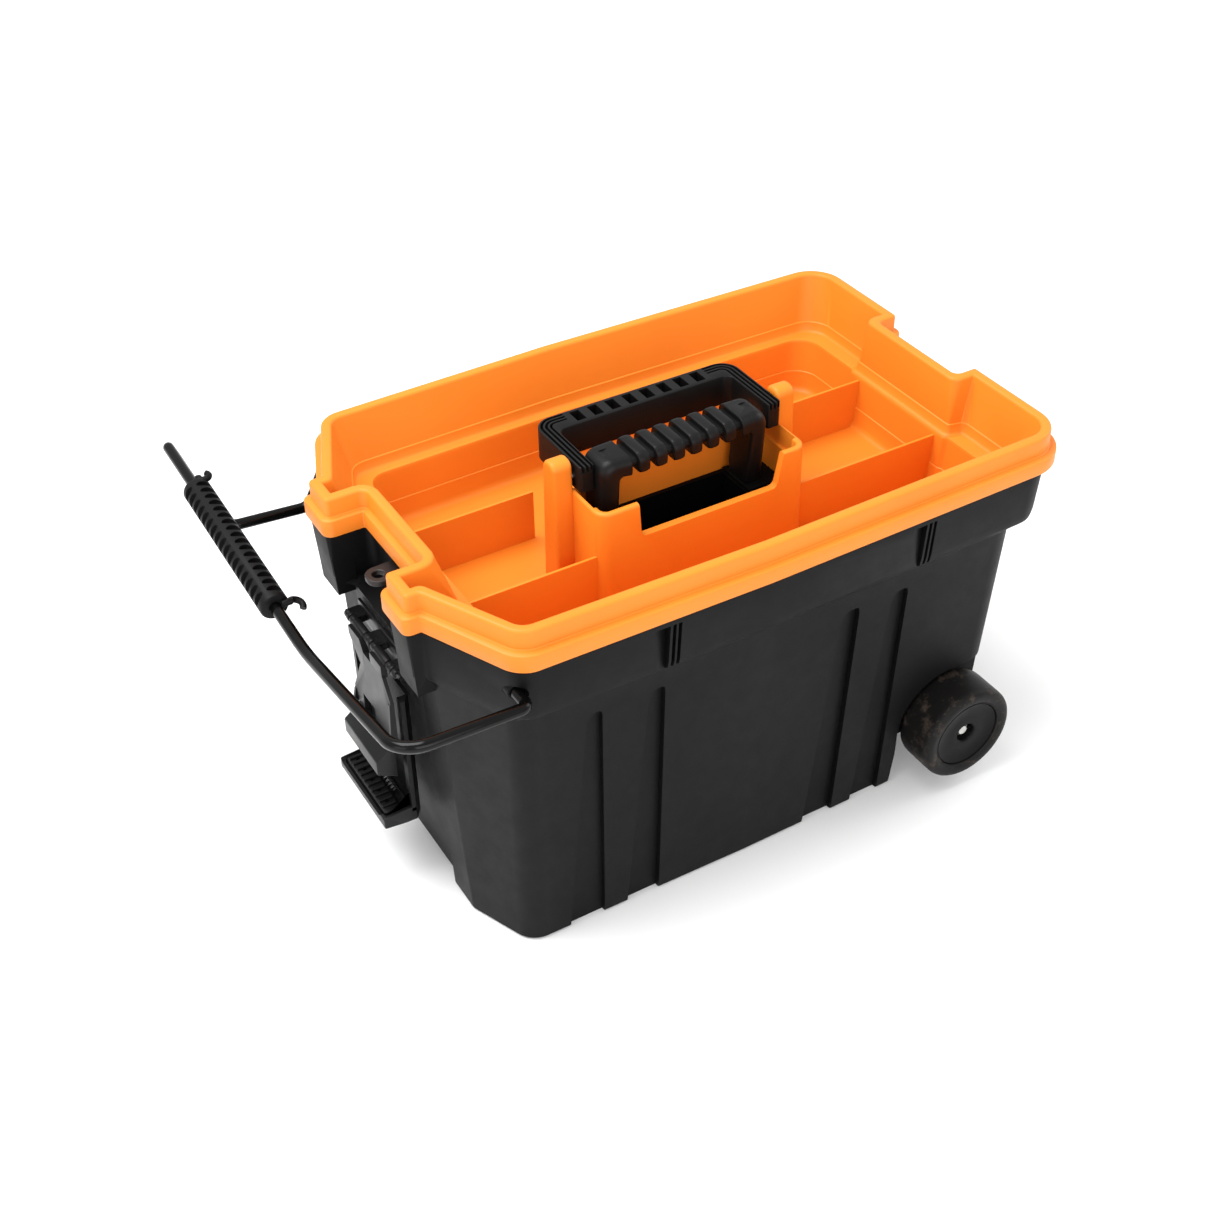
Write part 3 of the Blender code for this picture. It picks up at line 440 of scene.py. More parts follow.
RIM = both_sides([
    (0.2775, 0.058, 0.006, 5), (0.300, 0.058, 0.0035, 5), (0.300, 0.1826, 0.034, 14),
    (-0.020, 0.1885, 0.0, 0), (-0.245, 0.1836, 0.024, 10), (-0.2875, 0.0955, 0.003, 3),
    (-0.300, 0.0955, 0.004, 5), (-0.300, 0.058, 0.004, 5), (-0.264, 0.058, 0.007, 5)])

FLANGE = both_sides([
    (0.2740, 0.058, 0.006, 5), (0.2955, 0.058, 0.0035, 5), (0.2955, 0.1828, 0.032, 14),
    (-0.020, 0.1890, 0.0, 0), (-0.2475, 0.1858, 0.024, 10), (-0.2895, 0.0985, 0.003, 3),
    (-0.3015, 0.0975, 0.004, 5), (-0.3015, 0.0605, 0.004, 5), (-0.2615, 0.0605, 0.007, 5)])


REAR_CORNER = 4     # its place in both outlines
for outline in (RIM, FLANGE):
    x, *rest = outline[REAR_CORNER]
    outline[REAR_CORNER] = (x - REAR_CORNER_OUT, *rest)

# The band round the rim: a little wider along the long sides and at the latch end's corners.
BAND = [(x - (0.0014 if x < -0.2 and abs(y) > 0.15 else 0),
         y + (math.copysign(0.0018, y) if abs(y) > 0.15 else 0), r, s) for x, y, r, s in RIM]


def walls(wheel_x, latch_x, half_y, corner_x, facet_y=0.095):
    """An outline of the bin below its rim, with slanted facets at the latch end."""
    return both_sides([
        (wheel_x, 0.040, 0.0, 5), (wheel_x, 0.080, 0.0, 5), (wheel_x, half_y, 0.030, 14),
        (-0.020, half_y + 0.003, 0.0, 0), (corner_x, half_y, 0.024, 10),
        (latch_x, facet_y, 0.008, 3), (latch_x, 0.080, 0.0, 5), (latch_x, 0.060, 0.0, 5),
        (latch_x, 0.040, 0.0, 5)])


def pocket(wheel_x, notch_x, half_y, latch_x, prong_x, corner_x):
    """An outline of the tray's inside, with the notches at both ends."""
    return both_sides([
        (notch_x, 0.070, 0.005, 5), (wheel_x, 0.074, 0.005, 5), (wheel_x, half_y, 0.024, 14),
        (-0.020, half_y + 0.004, 0.0, 0), (corner_x, half_y, 0.018, 10),
        (prong_x + 0.006, 0.0850, 0.003, 3), (prong_x, 0.0822, 0.002, 5),
        (prong_x, 0.0720, 0.002, 5), (latch_x, 0.0690, 0.004, 5)])


# ---------------------------------------------------------------- bin

def make_bin():
    """The bin: walls, flange and upstand in one shell, then ears, grooves, pockets and arches."""
    low = walls(0.2550, -0.2690, HALF_Y, -0.243, 0.105)
    high = walls(0.2712, -0.2815, 0.1745, -0.246)
    inner = walls(0.2655, -0.2745, 0.1655, -0.232)
    deep = walls(0.1440, -0.2570, 0.1595, -0.236, 0.100)
    shell = loft("bin", [
        ring(low, 0.0, -0.0040), ring(low, 0.0006, -0.0018), ring(low, 0.0018, -0.0004),
        ring(low, 0.0040, 0.0), ring(high, 0.2660), ring(high, 0.2690, 0.0008),
        ring(FLANGE, 0.2735, -0.0045), ring(FLANGE, 0.2765, -0.0036), ring(FLANGE, 0.282, -0.0026),
        ring(FLANGE, 0.3240, 0.0002), ring(FLANGE, 0.3268, -0.0002), ring(FLANGE, 0.3285, -0.0012),
        ring(FLANGE, 0.3296, -0.0028), ring(FLANGE, 0.3302, -0.0048),
        ring(RIM, 0.3320, -0.0033), ring(RIM, 0.3600, -0.0033), ring(RIM, 0.3600, -0.0069),
        ring(RIM, 0.2960, -0.0098), ring(RIM, 0.2700, -0.0102), ring(inner, 0.2620),
        ring(walls(0.2550, -0.2630, 0.1595, -0.238, 0.108), 0.150),
        ring(walls(0.1440, -0.2630, 0.1595, -0.239, 0.109), 0.136), ring(deep, 0.004)], 30)
    ears = []
    for side in (-1, 1):
        rows = []
        for z, x, inset in ((0.2595, -0.2960, 0.0012), (0.2608, -0.2972, 0.0),
                            (0.3040, -0.2996, 0.0)):
            low_y, high_y = sorted(((0.0623 + inset) * side, (0.0958 - inset) * side))
            rows.append([(x, low_y, z), (-0.2785, low_y, z), (-0.2785, high_y, z),
                         (x, high_y, z)])
        ears.append(loft("ear", rows))
    join(shell, *ears)
    tools = []
    for side in (-1, 1):
        tools += grooves(side) + pockets(side) + [wheel_arch(side)]
        tools.append(cylinder("bush_hole", (BAIL_X, 0.175 * side, BAIL_Z), BUSH_HOLE_R, 0.05, "Y"))
    tools.append(box("under", (0.152, -0.148, -0.010), (0.246, 0.148, 0.124)))
    raised = [(RAISED_X, -0.01, 0), (0.320, -0.01, 0), (0.320, RAISED_Z, 0),
              (RAISED_X + 0.006, RAISED_Z, 0.004)]
    tools.append(slab("raised", rounded(raised), -0.25, 0.25, "Y"))
    tools.append(cylinder("bore", (AXLE_X, 0, AXLE_Z), AXLE_BORE_R, 0.36, "Y"))
    tools.append(slab("foot_gap", [(-0.2610, -0.01), (-0.2610, 0.0), (-0.2735, 0.0740), (-0.30, 0.0740),
                                   (-0.30, -0.01)], -0.0690, 0.0690, "Y"))
    cut(shell, *tools)
    piece(soften(shell, 0.0009, 2, 50), "bin", BLACK, "bin_plastic", "bin_shell")


def grooves(side):
    """Cutters for the four tapering grooves in one long side."""
    made = []
    for left, top, foot in ((-0.2045, -0.1705, -0.1685), (-0.146, -0.1105, -0.112),
                            (0.0465, 0.0896, 0.0815), (0.103, 0.1432, 0.1365)):
        high_left = top - 0.45 * (top - left)
        rows = []
        for z, x0, x1 in ((-0.01, left, foot), (0.236, high_left, top),
                          (0.2425, high_left + 0.0015, top), (0.2465, high_left + 0.005, top - 0.0008),
                          (0.2480, high_left + 0.009, top - 0.003)):
            face = HALF_Y + HALF_Y_LEAN * z / WALL_TOP_Z + 0.0005
            near, far = (face - 0.005) * side, 0.186 * side
            rows.append([(x0, near, z), (x1, near, z), (x1, far, z), (x0, far, z)])
        made.append(loft("groove", rows))
    return made


def pockets(side):
    """Cutters for the wide recess and two slots at two places on one side of the flange."""
    made = []
    for x in (-0.1025, 0.1585):
        for left, right, d0, d1, foot in ((-0.0255, -0.0110, 0.0015, 0.0080, 0.257),
                                          (-0.0086, -0.0054, 0.0075, 0.0075, 0.261),
                                          (-0.0034, -0.0002, 0.0075, 0.0075, 0.264)):
            flat = [(x + left, (0.1868 - d0) * side), (x + right, (0.1868 - d1) * side),
                    (x + right, 0.20 * side), (x + left, 0.20 * side)]
            made.append(slab("flange_pocket", flat, foot, 0.320, "Z"))
    return made


def wheel_arch(side):
    """A cutter for the arch over one wheel, open below and to the end of the bin."""
    low_y, high_y = sorted((0.156 * side, 0.22 * side))
    curve = [(AXLE_X + WHEEL_ARCH_R * math.cos(a), AXLE_Z + WHEEL_ARCH_R * math.sin(a))
             for a in (math.radians(90 + 4.5 * i) for i in range(21))]
    foot = [(0.155, 0.012), (0.1535, 0.006), (0.1505, 0.002), (0.1460, 0.0), (0.1440, -0.001),
            (0.1440, -0.020), (0.310, -0.020), (0.310, 0.120)]
    return slab("wheel_arch", curve + foot, low_y, high_y, "Y")


# ---------------------------------------------------------------- tray

def dipped(points, drop=0.0023):
    """A ring of the outer band, which hangs a little lower round the latch end."""
    return [(x, y, z - drop * max(0.0, min(1.0, (-0.205 - x) / 0.035))) for x, y, z in points]


def make_tray():
    """The tray: two steps down inside the rim, dividers, the handle well and its posts."""
    upper = pocket(0.2800, 0.2640, 0.1605, -0.2400, -0.2700, -0.2330)
    lower = pocket(0.2630, 0.2595, 0.1510, -0.2290, -0.2420, -0.2220)
    floor = pocket(0.2570, 0.2550, 0.1470, -0.2270, -0.2370, -0.2200)
    z = RIM_Z
    tray = loft("tray", [
        ring(floor, z - 0.1138, 0.0010), ring(floor, z - 0.111, 0.0026),
        ring(lower, z - 0.0588, 0.0026), ring(upper, z - 0.0588, 0.0026),
        ring(RIM, z - 0.0035, -0.0074), ring(RIM, z - 0.0035, -0.0026),
        ring(RIM, z - 0.0200, -0.0026), dipped(ring(BAND, z - 0.0326, 0.0020)),
        dipped(ring(BAND, z - 0.0330, 0.0036)), dipped(ring(BAND, z - 0.0328, 0.0050)),
        dipped(ring(BAND, z - 0.0316, 0.0056)), ring(BAND, z - 0.0206, 0.0056),
        ring(BAND, z - 0.0192, 0.0052), ring(BAND, z - 0.0184, 0.0040),
        ring(RIM, z - 0.0180, 0.0012), ring(RIM, z - 0.0170, 0.0002), ring(RIM, z - 0.0155, 0.0002),
        ring(RIM, z - 0.0145, 0.0), ring(RIM, z - 0.0030, 0.0), ring(RIM, z - 0.0014, -0.0004),
        ring(RIM, z - 0.0004, -0.0014), ring(RIM, z, -0.0030), ring(RIM, z, -0.0074),
        ring(RIM, z - 0.0004, -0.0086), ring(RIM, z - 0.0014, -0.0096),
        ring(RIM, z - 0.0030, -0.0100),
        ring(upper, z - 0.0455, 0.0022), ring(upper, z - 0.0462, 0.0010),
        ring(upper, z - 0.0535, -0.0004), ring(upper, z - 0.0552, -0.0016),
        ring(upper, z - 0.0560, -0.0036), ring(lower, z - 0.0563, 0.0016),
        ring(lower, z - 0.0568, 0.0004), ring(lower, z - 0.0585, -0.0002),
        ring(lower, z - 0.0600, -0.0003), ring(floor, z - 0.0890, 0.0024),
        ring(floor, z - 0.0896, 0.0014),
        ring(floor, z - 0.1050, 0.0004), ring(floor, z - 0.1085, -0.0010),
        ring(floor, z - 0.1104, -0.0034), ring(floor, z - 0.1110, -0.0062)], 24)
    extras = []
    for side in (-1, 1):
        for low_x, high_x in ((-0.2300, -0.1055), (0.1055, 0.2590)):
            low_y, high_y = sorted((side * 0.0562, side * 0.0588))
            extras.append(box("divider", (low_x, low_y, 0.2520), (high_x, high_y, z - 0.060)))
    outside = [(0.1068, 0.009, 0.005, 6), (-0.1068, 0.009, 0.005, 6),
               (-0.1068, -0.066, 0.013, 8), (0.1068, -0.066, 0.013, 8)]
    top = z - 0.015
    extras.append(loft("well", [
        ring(outside, 0.252, 0.001), ring(outside, top - 0.0030), ring(outside, top - 0.0012, -0.0005),
        ring(outside, top - 0.0003, -0.0015), ring(outside, top, -0.0030),
        ring(outside, top - 0.0002, -0.0050), ring(outside, top - 0.0010, -0.0062),
        ring(outside, top - 0.0026, -0.0068), ring(outside, 0.2530, -0.0068)]))
    for side in (-1, 1):
        outline = rounded([(-0.0225, 0.252, 0), (0.0045, 0.252, 0), (0.0005, z + 0.0152, 0.0085),
                           (-0.0185, z + 0.0152, 0.0085)])
        low_x, high_x = sorted((side * 0.1053, side * 0.1245))
        extras.append(soften(slab("post", outline, low_x, high_x, "X"), 0.0035, 4, 60))
        bake(extras[-1])
    join(tray, *extras)
    notch = rounded([(-0.0660, z - 0.0490, 0.006), (0.0740, z - 0.0490, 0.006),
                     (0.0835, z, 0), (-0.0690, z, 0)])
    tools = [slab("notch", notch, -0.090, -0.052, "Y"),
             box("well_back", (-0.100, -0.020, z - 0.024), (0.100, 0.030, z + 0.001))]
    for side in (-1, 1):
        tools.append(cylinder("pin_hole", (side * 0.112, HANDLE_PIN_Y, HANDLE_PIN_Z),
                              HANDLE_PIN_HOLE_R, 0.018, "X"))
        arm = sorted((side * 0.0875, side * 0.1038))
        tools.append(box("arm_room", (arm[0], -0.050, z - 0.034), (arm[1], 0.030, z + 0.03)))
    cut(tray, *tools)
    piece(soften(tray, 0.0007, 2, 48), "tray", ORANGE, "tray_plastic", "tray")


# ---------------------------------------------------------------- handles

def channel(d0, d1, side):
    """One groove of the folding handle: up an arm, round the corner and a little way in."""
    def path(d):
        x, y, radius = 0.1034 - d, 0.0590 - d, 0.018 - d
        corner = [(x - radius * (1 - math.cos(a)), y - radius * (1 - math.sin(a)))
                  for a in (math.radians(10 * i) for i in range(10))]
        return [(side * u, v) for u, v in [(x, -0.0300)] + corner + [(0.0730, y)]]
    return slab("channel", path(d0) + path(d1)[::-1], RIM_Z + 0.0050, RIM_Z + 0.02, "Z")


def make_fold_handle():
    """The folding handle, lying back: two grooved arms and a slotted bar."""
    z = RIM_Z
    outer = [(0.1032, -0.0275, 0.004, 4), (0.1036, 0.0590, 0.018, 12), (-0.1036, 0.0590, 0.018, 12),
             (-0.1032, -0.0275, 0.004, 4), (-0.0892, -0.0275, 0.002, 4), (-0.0892, 0.0355, 0.008, 12),
             (0.0892, 0.0355, 0.008, 12), (0.0892, -0.0275, 0.002, 4)]
    handle = loft("fold_handle", [ring(outer, z - 0.019, -0.0006), ring(outer, z - 0.0184),
                                  ring(outer, z + 0.0100), ring(outer, z + 0.0108, -0.0004),
                                  ring(outer, z + 0.0112, -0.0012)])
    tools = [box("relief", (-0.11, -0.050, z - 0.03), (0.11, -0.006, z - 0.0135)),
             box("hollow", (-0.084, 0.0385, z - 0.03), (0.084, 0.0545, z - 0.004))]
    for side in (-1, 1):
        for d0, d1 in ((0.0020, 0.0044), (0.0062, 0.0086), (0.0104, 0.0126)):
            tools.append(channel(d0, d1, side))
        tools.append(cylinder("arm_hole", (side * 0.097, HANDLE_PIN_Y, HANDLE_PIN_Z),
                              HANDLE_PIN_HOLE_R, 0.03, "X"))
    for i in range(8):
        x = (i - 3.5) * 0.0178
        tools.append(box("bar_slot", (x - 0.0046, 0.0395, z - 0.008), (x + 0.0046, 0.0552, z + 0.02)))
    cut(handle, *tools)
    piece(soften(handle, 0.0005, 2, 50), "fold_handle", HANDLE, "handle_plastic", "fold_handle")


def arch_section(under, over, inset=0.0, front=-0.0425, back=-0.0020):
    """One rounded section of the arch handle, from a point on its inside to one outside."""
    low, high = Vector((under[0], 0.0, under[1])), Vector((over[0], 0.0, over[1]))
    middle, reach = (low + high) / 2, (high - low).length / 2 - inset
    out = (high - low).normalized()
    half = (back - front) / 2 - inset
    across = Vector((0.0, (back + front) / 2, 0.0))
    flat = ring([(-reach, -half, 0.0040, 5), (reach, -half, 0.0125, 8),
                 (reach, half, 0.0085, 8), (-reach, half, 0.0040, 5)], 0.0)
    return [tuple(middle + across + out * u + Vector((0.0, v, 0.0))) for u, v, _ in flat]


def make_arch():
    """The fixed handle: one loft up a leg, along the grooved bar and down the other leg."""
    z, shift = RIM_Z, -0.0037
    foot, under, top = z - 0.0577, z - 0.0030, z + 0.0148
    inside = fillet((-0.0655, 0, foot), (-0.0675, 0, under), (0.0, 0, under), 0.004, 12)
    outside = fillet((-0.0872, 0, foot), (-0.0852, 0, top), (0.0, 0, top), 0.013, 12)
    left = [((-0.0655, foot), (-0.0872, foot)), ((-0.0650, foot + 0.010), (-0.0866, foot + 0.010)),
            ((-0.0668, foot + 0.022), (-0.0856, foot + 0.022))]
    left += [((p.x, p.z), (q.x, q.z)) for p, q in zip(inside, outside)]
    legs = []
    for side, pairs in ((1, left), (-1, left[::-1])):
        made = []
        for (a, b), (c, d) in pairs:
            lean = 1 - max(0.0, min(1.0, (b - foot) / 0.045))
            made.append(arch_section((side * a + shift, b), (side * c + shift, d), 0.0,
                                     -0.0410 + 0.0060 * lean, -0.0030 - 0.0040 * lean))
        legs.append(made)
    bar = []
    pitch, groove = 0.0176, 0.0036
    for i in range(7):
        x = (i - 3) * pitch + shift
        for dx, inset in ((-groove - 0.0007, 0.0), (-groove, 0.0007), (-groove + 0.0003, 0.0048),
                          (groove - 0.0003, 0.0048), (groove, 0.0007), (groove + 0.0007, 0.0)):
            bar.append(arch_section((x + dx, under), (x + dx, top), inset))
        if i < 6:
            for k in range(1, 4):
                dx = groove + 0.0007 + k / 4 * (pitch - 2 * groove - 0.0014)
                bar.append(arch_section((x + dx, under), (x + dx, top), -0.0004))
    handle = loft("arch_bar", legs[0] + bar + legs[1], 40)
    cut(handle, *[cylinder("dimple", (side * 0.0715 + shift, -0.0205, top + 0.0098), 0.0108,
                           0.009, "Y", 40) for side in (-1, 1)])
    piece(handle, "tray", HANDLE, "handle_plastic", "arch_handle")


def make_insert():
    """The liner on the floor of the handle well, with a pad under each leg."""
    floor = RIM_Z - 0.0620
    base = box("liner", (-0.0996, -0.0590, 0.2536), (0.0996, 0.0018, floor), 0.0012, 2)
    pads = [box("leg_pad", (min(side * 0.060, side * 0.0955), -0.0440, floor - 0.002),
                (max(side * 0.060, side * 0.0955), -0.0005, floor + 0.0032), 0.0012, 2)
            for side in (-1, 1)]
    join(base, *pads)
    cut(base, box("liner_room", (-0.058, -0.0540, 0.2600), (0.058, -0.0035, floor + 0.01), 0.002, 2))
    piece(base, "tray", LINER, "handle_plastic", "handle_insert")


# ---------------------------------------------------------------- wheels

def make_wheels():
    w = WHEEL_WIDTH
    tyre = [(0.0350, 0.0030), (0.0375, 0.0012), (0.0420, 0.0004), (0.0450, 0.0004), (0.0474, 0.0014),
            (0.0490, 0.0030), (0.0498, 0.0056), (0.0500, 0.0090), (0.0500, w - 0.0090),
            (0.0498, w - 0.0056), (0.0490, w - 0.0032), (0.0474, w - 0.0014), (0.0450, w - 0.0004),
            (0.0425, w - 0.0002), (0.0400, w - 0.0006), (0.0382, w - 0.0012), (0.0372, w - 0.0020),
            (0.0364, w - 0.0021), (0.0358, w - 0.0016), (0.0353, w - 0.0020), (0.0350, w - 0.0040)]
    hub = [(0.0053, 0.0), (0.0120, 0.0), (0.0120, 0.012), (0.0300, 0.016), (0.0300, 0.002),
           (0.0347, 0.002), (0.0347, w - 0.0040), (0.0342, w - 0.0032), (0.0335, w - 0.0034),
           (0.0300, w - 0.0044), (0.0240, w - 0.0052), (0.0180, w - 0.0054), (0.0125, w - 0.0048),
           (0.0110, w - 0.0050), (0.0098, w - 0.0060), (0.0092, w - 0.0080), (0.0090, w - 0.0150),
           (0.0053, w - 0.0150)]
    for place, side in (("front", -1), ("rear", 1)):
        start = (AXLE_X, side * WHEEL_Y, AXLE_Z)
        piece(turned(f"wheel_tyre_{place}", tyre, start, 96, side < 0), f"wheel_{place}", TYRE,
              "tyre_rubber", f"tyre_{place}")
        piece(turned(f"wheel_hub_{place}", hub, start, 72, side < 0, 28), f"wheel_{place}", HUB,
              "handle_plastic", f"hub_{place}")


# ---------------------------------------------------------------- bail

BAR_Z, SLOPE, KNEE_Y = 0.2725, 0.0750, -0.010      # the cross bar's height at its knee
ROD_R, GRIP_R, GRIP_Y, GRIP_LENGTH = 0.0053, 0.0130, 0.0545, 0.1855


def bar_height(y):
    return BAR_Z + (y - KNEE_Y) * SLOPE


def make_bail():
    """The wire from the front bush round the end to past the grip, and back to the rear bush."""
    x, side_y, tip_y = -0.3575, 0.1965, 0.3175
    tip_z, return_x = bar_height(tip_y), x + 0.0064
    under_z = bar_height(side_y) - 0.0170
    path = bent([
        (BAIL_X, -BUSH_Y, BAIL_Z, 0), (BAIL_X, -side_y, BAIL_Z, 0.0075),
        (x, -side_y, 0.306, 0.026), (x, KNEE_Y, BAR_Z, 0.16), (x, tip_y, tip_z, 0.0088),
        (return_x, tip_y, tip_z - 0.0170, 0.0088), (return_x, side_y, under_z, 0.016),
        (-0.268, side_y, under_z - 0.0065, 0.012), (BAIL_X, side_y, BAIL_Z, 0.0075),
        (BAIL_X, BUSH_Y, BAIL_Z, 0)])
    piece(rod("bail_wire", path, ROD_R, 5), "bail", ROD, "bail_steel", "bail_rod")
    make_grip(x)


def make_grip(x):
    """The grip, with four rows of oval slots, and a small hook at each of its ends."""
    length, y0, r = GRIP_LENGTH, GRIP_Y, GRIP_R
    profile = [(0.0056, 0.0), (0.0108, 0.0), (0.0123, 0.0006), (r, 0.0020), (r, length - 0.0020),
               (0.0123, length - 0.0006), (0.0108, length), (0.0056, length)]
    grip = turned("bail_grip_piece", profile, (0, 0, 0), 64)
    ovals = bmesh.new()
    rows, count = 4, 17
    for k in range(rows):
        a = math.radians(360 / rows * k + 64)
        for i in range(count):
            y = 0.0105 + (length - 0.021) * i / (count - 1)
            turn = (Matrix.Translation((0, y, 0)) @ Matrix.Rotation(-a, 4, "Y")
                    @ Matrix.Translation((r, 0, 0))
                    @ Matrix.Diagonal((0.0066, 0.0037, 0.0084, 1)))
            bmesh.ops.create_uvsphere(ovals, u_segments=14, v_segments=8, radius=1.0, matrix=turn)
    cut(grip, finish_mesh("ovals", ovals))
    place = Matrix.Translation((x, y0, bar_height(y0))) @ Matrix.Rotation(math.atan(SLOPE), 4, "X")
    grip.data.transform(place)
    hooks = []
    for y, out, up, curl, droop in ((y0 - 0.0035, 0.0180, 0.004, 0.0052, 0.0023),
                                    (y0 + length + 0.0035, 0.0095, 0.008, -0.0052, 0.0)):
        z = bar_height(y) + up
        arc = [Vector((x + out - abs(curl) * math.cos(t), y + curl * math.sin(t), z - droop * t))
               for t in (math.radians(14 * i) for i in range(17))]
        hooks.append(rod("grip_hook", [Vector((x + 0.0060, y + 0.001, z - 0.001))] + arc, 0.0031, 4))
    piece(grip, "bail", GRIP, "grip_rubber", "bail_grip")
    for hook in hooks:
        piece(hook, "bail", GRIP, "grip_rubber")


def make_bushes():
    inner, outer, far = 0.0056, 0.0072, BUSH_LENGTH
    for place, side in (("front", -1), ("rear", 1)):
        profile = [(inner, 0.0), (outer, 0.0), (outer, far - 0.0006), (outer - 0.0005, far), (inner, far)]
        piece(turned(f"bush_{place}", profile, (BAIL_X, side * BUSH_Y, BAIL_Z), 40, side < 0),
              "bin", BLACK, "bin_plastic", f"bail_bush_{place}")


# ---------------------------------------------------------------- latch

def make_latch_frame():
    """The housing on the latch end: two rails, a back and a tray-shaped shelf."""
    back = -0.2822
    frame = slab("latch_housing", rounded([(-0.0465, 0.080, 0.007), (0.0535, 0.080, 0.007),
                                           (0.0535, 0.2160, 0.004), (-0.0465, 0.2160, 0.004)]),
                 -0.2940, back, "X")
    shelf = rounded([(-0.3215, 0.0785, 0.002), (-0.300, 0.0760, 0.001), (back, 0.0760, 0),
                     (back, 0.092, 0), (-0.2960, 0.092, 0.004), (-0.3215, 0.0900, 0.002)])
    join(frame, bake(soften(slab("shelf", shelf, -0.0465, 0.0500, "Y"), 0.003, 3, 60)))
    cut(frame, slab("recess", rounded([(-0.0385, 0.0865, 0.006), (0.0485, 0.0865, 0.006),
                                       (0.0485, 0.2400, 0.004), (-0.0385, 0.2400, 0.004)]),
                    -0.330, -0.2856, "X"),
        slab("rail_back", [(-0.2905, -0.0470), (-0.2815, -0.0355), (-0.2815, -0.060),
                           (-0.2905, -0.060)], 0.070, 0.240, "Z"),
        box("shelf_tray", (-0.3185, -0.0425, 0.0835), (-0.2900, 0.0465, 0.1100), 0.0025, 3))
    piece(soften(frame, 0.0010, 2, 45), "bin", LATCH, "latch_plastic", "latch_frame")


def make_catch():
    """The ribbed block on the shelf."""
    block = box("catch", (-0.3172, -0.0400, 0.0843), (-0.3010, 0.0440, 0.0920), 0.0016, 3)
    join(block, *[box("rib", (-0.3166, -0.0340 + i * 0.0080, 0.0900),
                      (-0.3030, -0.0304 + i * 0.0080, 0.0943), 0.0006, 1) for i in range(10)])
    cut(block, *[cylinder("pit", (-0.3092, -0.0280 + i * 0.0160, 0.0945), 0.0022, 0.008, "Z", 16)
                 for i in range(5)])
    piece(block, "bin", HANDLE, "handle_plastic", "catch_block")


def make_latch_plate():
    """The swinging plate: window, side flanges, folded lip and two knuckles."""
    outline = rounded([(-0.0320, 0.150, 0.002), (0.0300, 0.150, 0.002), (0.0350, 0.160, 0.003),
                       (0.0350, 0.182, 0.004), (0.0040, 0.2390, 0.002), (-0.034, 0.2390, 0.002),
                       (-0.046, 0.218, 0.005), (-0.046, 0.176, 0.004)])
    plate = slab("latch_door", outline, -0.3030, -0.2995, "X")
    block = rounded([(-0.3200, 0.1390, 0.002), (-0.3010, 0.1290, 0.001), (-0.3005, 0.1700, 0.001),
                     (-0.3200, 0.1540, 0.003)])
    lip = bake(soften(slab("lip", block, -0.0410, 0.0280, "Y"), 0.0025, 3, 60))
    flanges = []
    for y0, y1, high in ((-0.0460, -0.0425, 0.222), (0.0320, 0.0350, 0.184)):
        flanges.append(slab("flange", rounded([(-0.3065, 0.166, 0.002), (-0.3000, 0.162, 0.001),
                                               (-0.3000, high, 0.001), (-0.3040, high - 0.006, 0.002)]),
                            y0, y1, "Y"))
    knuckles = []
    for low, high in ((-0.0335, -0.0105), (0.0105, 0.0335)):
        foot = ([(low, 0.2370), (high, 0.2370), (high, HINGE_Z), (low, HINGE_Z)] if low < 0 else
                [(0.0035, 0.2220), (0.0150, 0.2220), (high, 0.2420), (high, HINGE_Z), (low, HINGE_Z),
                 (0.0035, 0.2380)])
        knuckles.append(slab("root", foot, -0.3030, -0.2975, "X"))
        knuckles.append(cylinder("knuckle", (HINGE_X, (low + high) / 2, HINGE_Z), 0.0045, high - low, "Y",
                                 28, 0.0008))
    join(plate, lip, *flanges, *knuckles)
    cut(plate, box("window", (-0.330, -0.008, 0.1625), (-0.290, 0.0165, 0.1840)),
        box("lip_hollow", (-0.3170, -0.0380, 0.1150), (-0.3040, 0.0250, 0.1420)),
        cylinder("plate_bore", (HINGE_X, 0, HINGE_Z), HINGE_HOLE_R, 0.12, "Y", 20))
    piece(soften(plate, 0.0008, 2, 45), "latch_plate", LATCH, "latch_plastic", "latch_plate")


def make_bracket():
    """The fixed half of the latch's hinge, with stepped knuckles."""
    back = -0.2821
    bracket = box("bracket", (back - 0.0030, -0.051, 0.2420), (back, 0.051, 0.2600), 0.0008, 2)
    extras, steps = [], 3
    for low, high in ((-0.050, -0.034), (-0.010, 0.010), (0.034, 0.050)):
        extras.append(box("root", (HINGE_X, low, HINGE_Z - 0.0035),
                          (back - 0.001, high, HINGE_Z + 0.0035)))
        width = (high - low) / steps
        for i in range(steps):
            middle = low + (i + 0.5) * width
            extras.append(cylinder("knuckle", (HINGE_X, middle, HINGE_Z), 0.0045 if i % 2 else 0.0040,
                                   width * (0.80 if i % 2 else 0.999), "Y", 28, 0.0007))
    join(bracket, *extras)
    cut(bracket, cylinder("bracket_bore", (HINGE_X, 0, HINGE_Z), HINGE_HOLE_R, 0.12, "Y", 20))
    piece(soften(bracket, 0.0004, 2, 45), "bin", LATCH, "latch_plastic", "latch_bracket")


def make_eye():
    """The padlock eye in the notch above the latch."""
    outline = rounded([(-0.2935, -0.0110, 0.0105), (-0.2619, -0.0125, 0.001),
                       (-0.2619, 0.0125, 0.001), (-0.2935, 0.0110, 0.0105)], 14)
    eye = slab("lock_eye", outline, 0.3130, 0.3185, "Z")
    cut(eye, cylinder("eye_hole", (-0.2825, 0.0, 0.3158), 0.0050, 0.02, "Z", 40))
    piece(soften(eye, 0.0014, 3, 40), "bin", BROWN, "eye_steel", "padlock_eye")


make_bin()
make_tray()
make_fold_handle()
make_arch()
make_insert()
make_wheels()
make_bail()
make_bushes()
make_latch_frame()
make_catch()
make_latch_plate()
make_bracket()
make_eye()


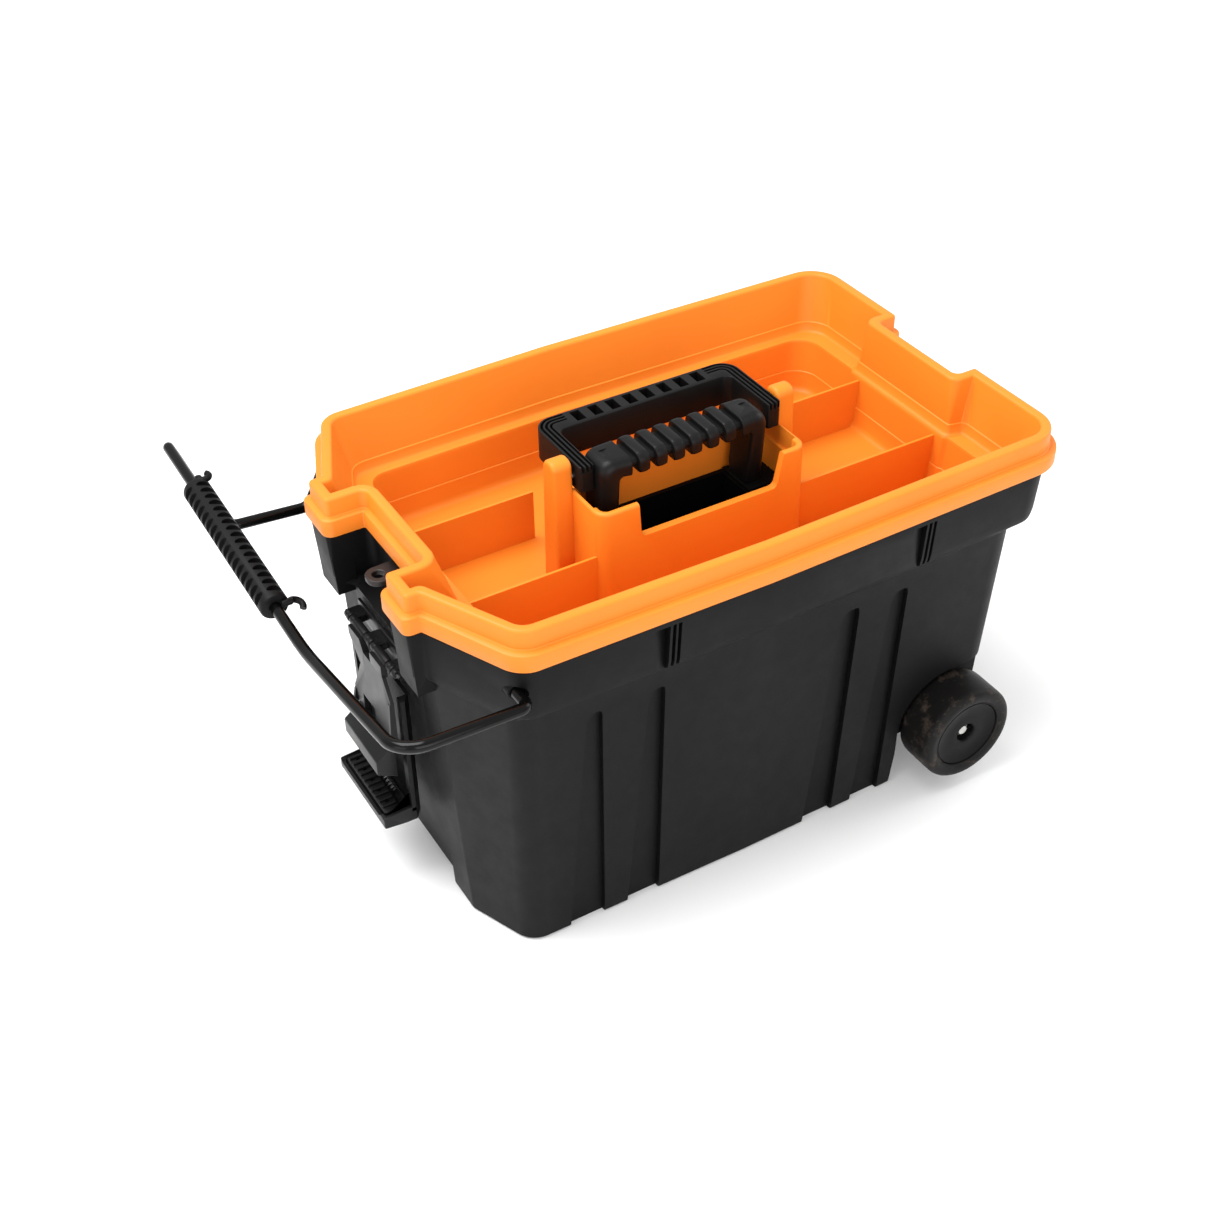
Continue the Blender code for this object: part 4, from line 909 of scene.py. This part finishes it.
# ---------------------------------------------------------------- stage, light and camera

def make_stage():
    floor_mesh = bmesh.new()
    bmesh.ops.create_grid(floor_mesh, x_segments=1, y_segments=1, size=9.0)
    mesh = bpy.data.meshes.new("floor")
    floor_mesh.to_mesh(mesh)
    floor_mesh.free()
    floor = bpy.data.objects.new("floor", mesh)
    bpy.context.scene.collection.objects.link(floor)
    look = bpy.data.materials.new("floor")
    look.use_nodes = True
    shader = look.node_tree.nodes["Principled BSDF"]
    shader.inputs["Base Color"].default_value = (0.93, 0.93, 0.93, 1)
    shader.inputs["Roughness"].default_value = 0.9
    shader.inputs["Specular IOR Level"].default_value = 0.1
    mesh.materials.append(look)
    floor.location.z = -0.0005


def lamp(name, place, target, size, power, colour=(1, 1, 1)):
    light = bpy.data.lights.new(name, "AREA")
    light.shape = "RECTANGLE"
    light.size, light.size_y = size
    light.energy = power
    light.color = colour
    made = bpy.data.objects.new(name, light)
    made.location = place
    made.rotation_euler = (Vector(target) - Vector(place)).to_track_quat("-Z", "Y").to_euler()
    bpy.context.scene.collection.objects.link(made)


def make_lights():
    lamp("key", (-0.9, 0.4, 2.6), (0, 0, 0.2), (1.8, 1.8), 88)
    lamp("front", (-0.6, -2.6, 1.3), (0, 0, 0.15), (2.2, 1.6), 34)
    lamp("right", (2.6, -0.3, 1.5), (0, 0, 0.15), (1.6, 1.6), 20)
    lamp("left", (-2.6, -0.8, 0.9), (0, 0, 0.15), (1.4, 1.4), 10)
    world = bpy.data.worlds.new("studio")
    world.use_nodes = True
    world.node_tree.nodes["Background"].inputs["Color"].default_value = (1, 1, 1, 1)
    world.node_tree.nodes["Background"].inputs["Strength"].default_value = 0.82
    bpy.context.scene.world = world


def make_camera():
    pitch, head, roll = (math.radians(a) for a in (38.227, 30.092, -0.9375))
    forward = Vector((math.sin(head) * math.cos(pitch), math.cos(head) * math.cos(pitch),
                      -math.sin(pitch)))
    right = Vector((math.cos(head), -math.sin(head), 0))
    up = right.cross(forward)
    x_axis = right * math.cos(roll) + up * math.sin(roll)
    y_axis = up * math.cos(roll) - right * math.sin(roll)
    data = bpy.data.cameras.new("camera")
    data.sensor_width = 36.0
    data.lens = 52.07
    made = bpy.data.objects.new("camera", data)
    turn = Matrix((x_axis, y_axis, -forward)).transposed().to_4x4()
    made.matrix_world = Matrix.Translation((-0.7027, -1.1033, 1.1973)) @ turn
    bpy.context.scene.collection.objects.link(made)
    bpy.context.scene.camera = made


bpy.context.scene.view_settings.view_transform = "Standard"
make_stage()
make_lights()
make_camera()

bpy.context.view_layer.update()
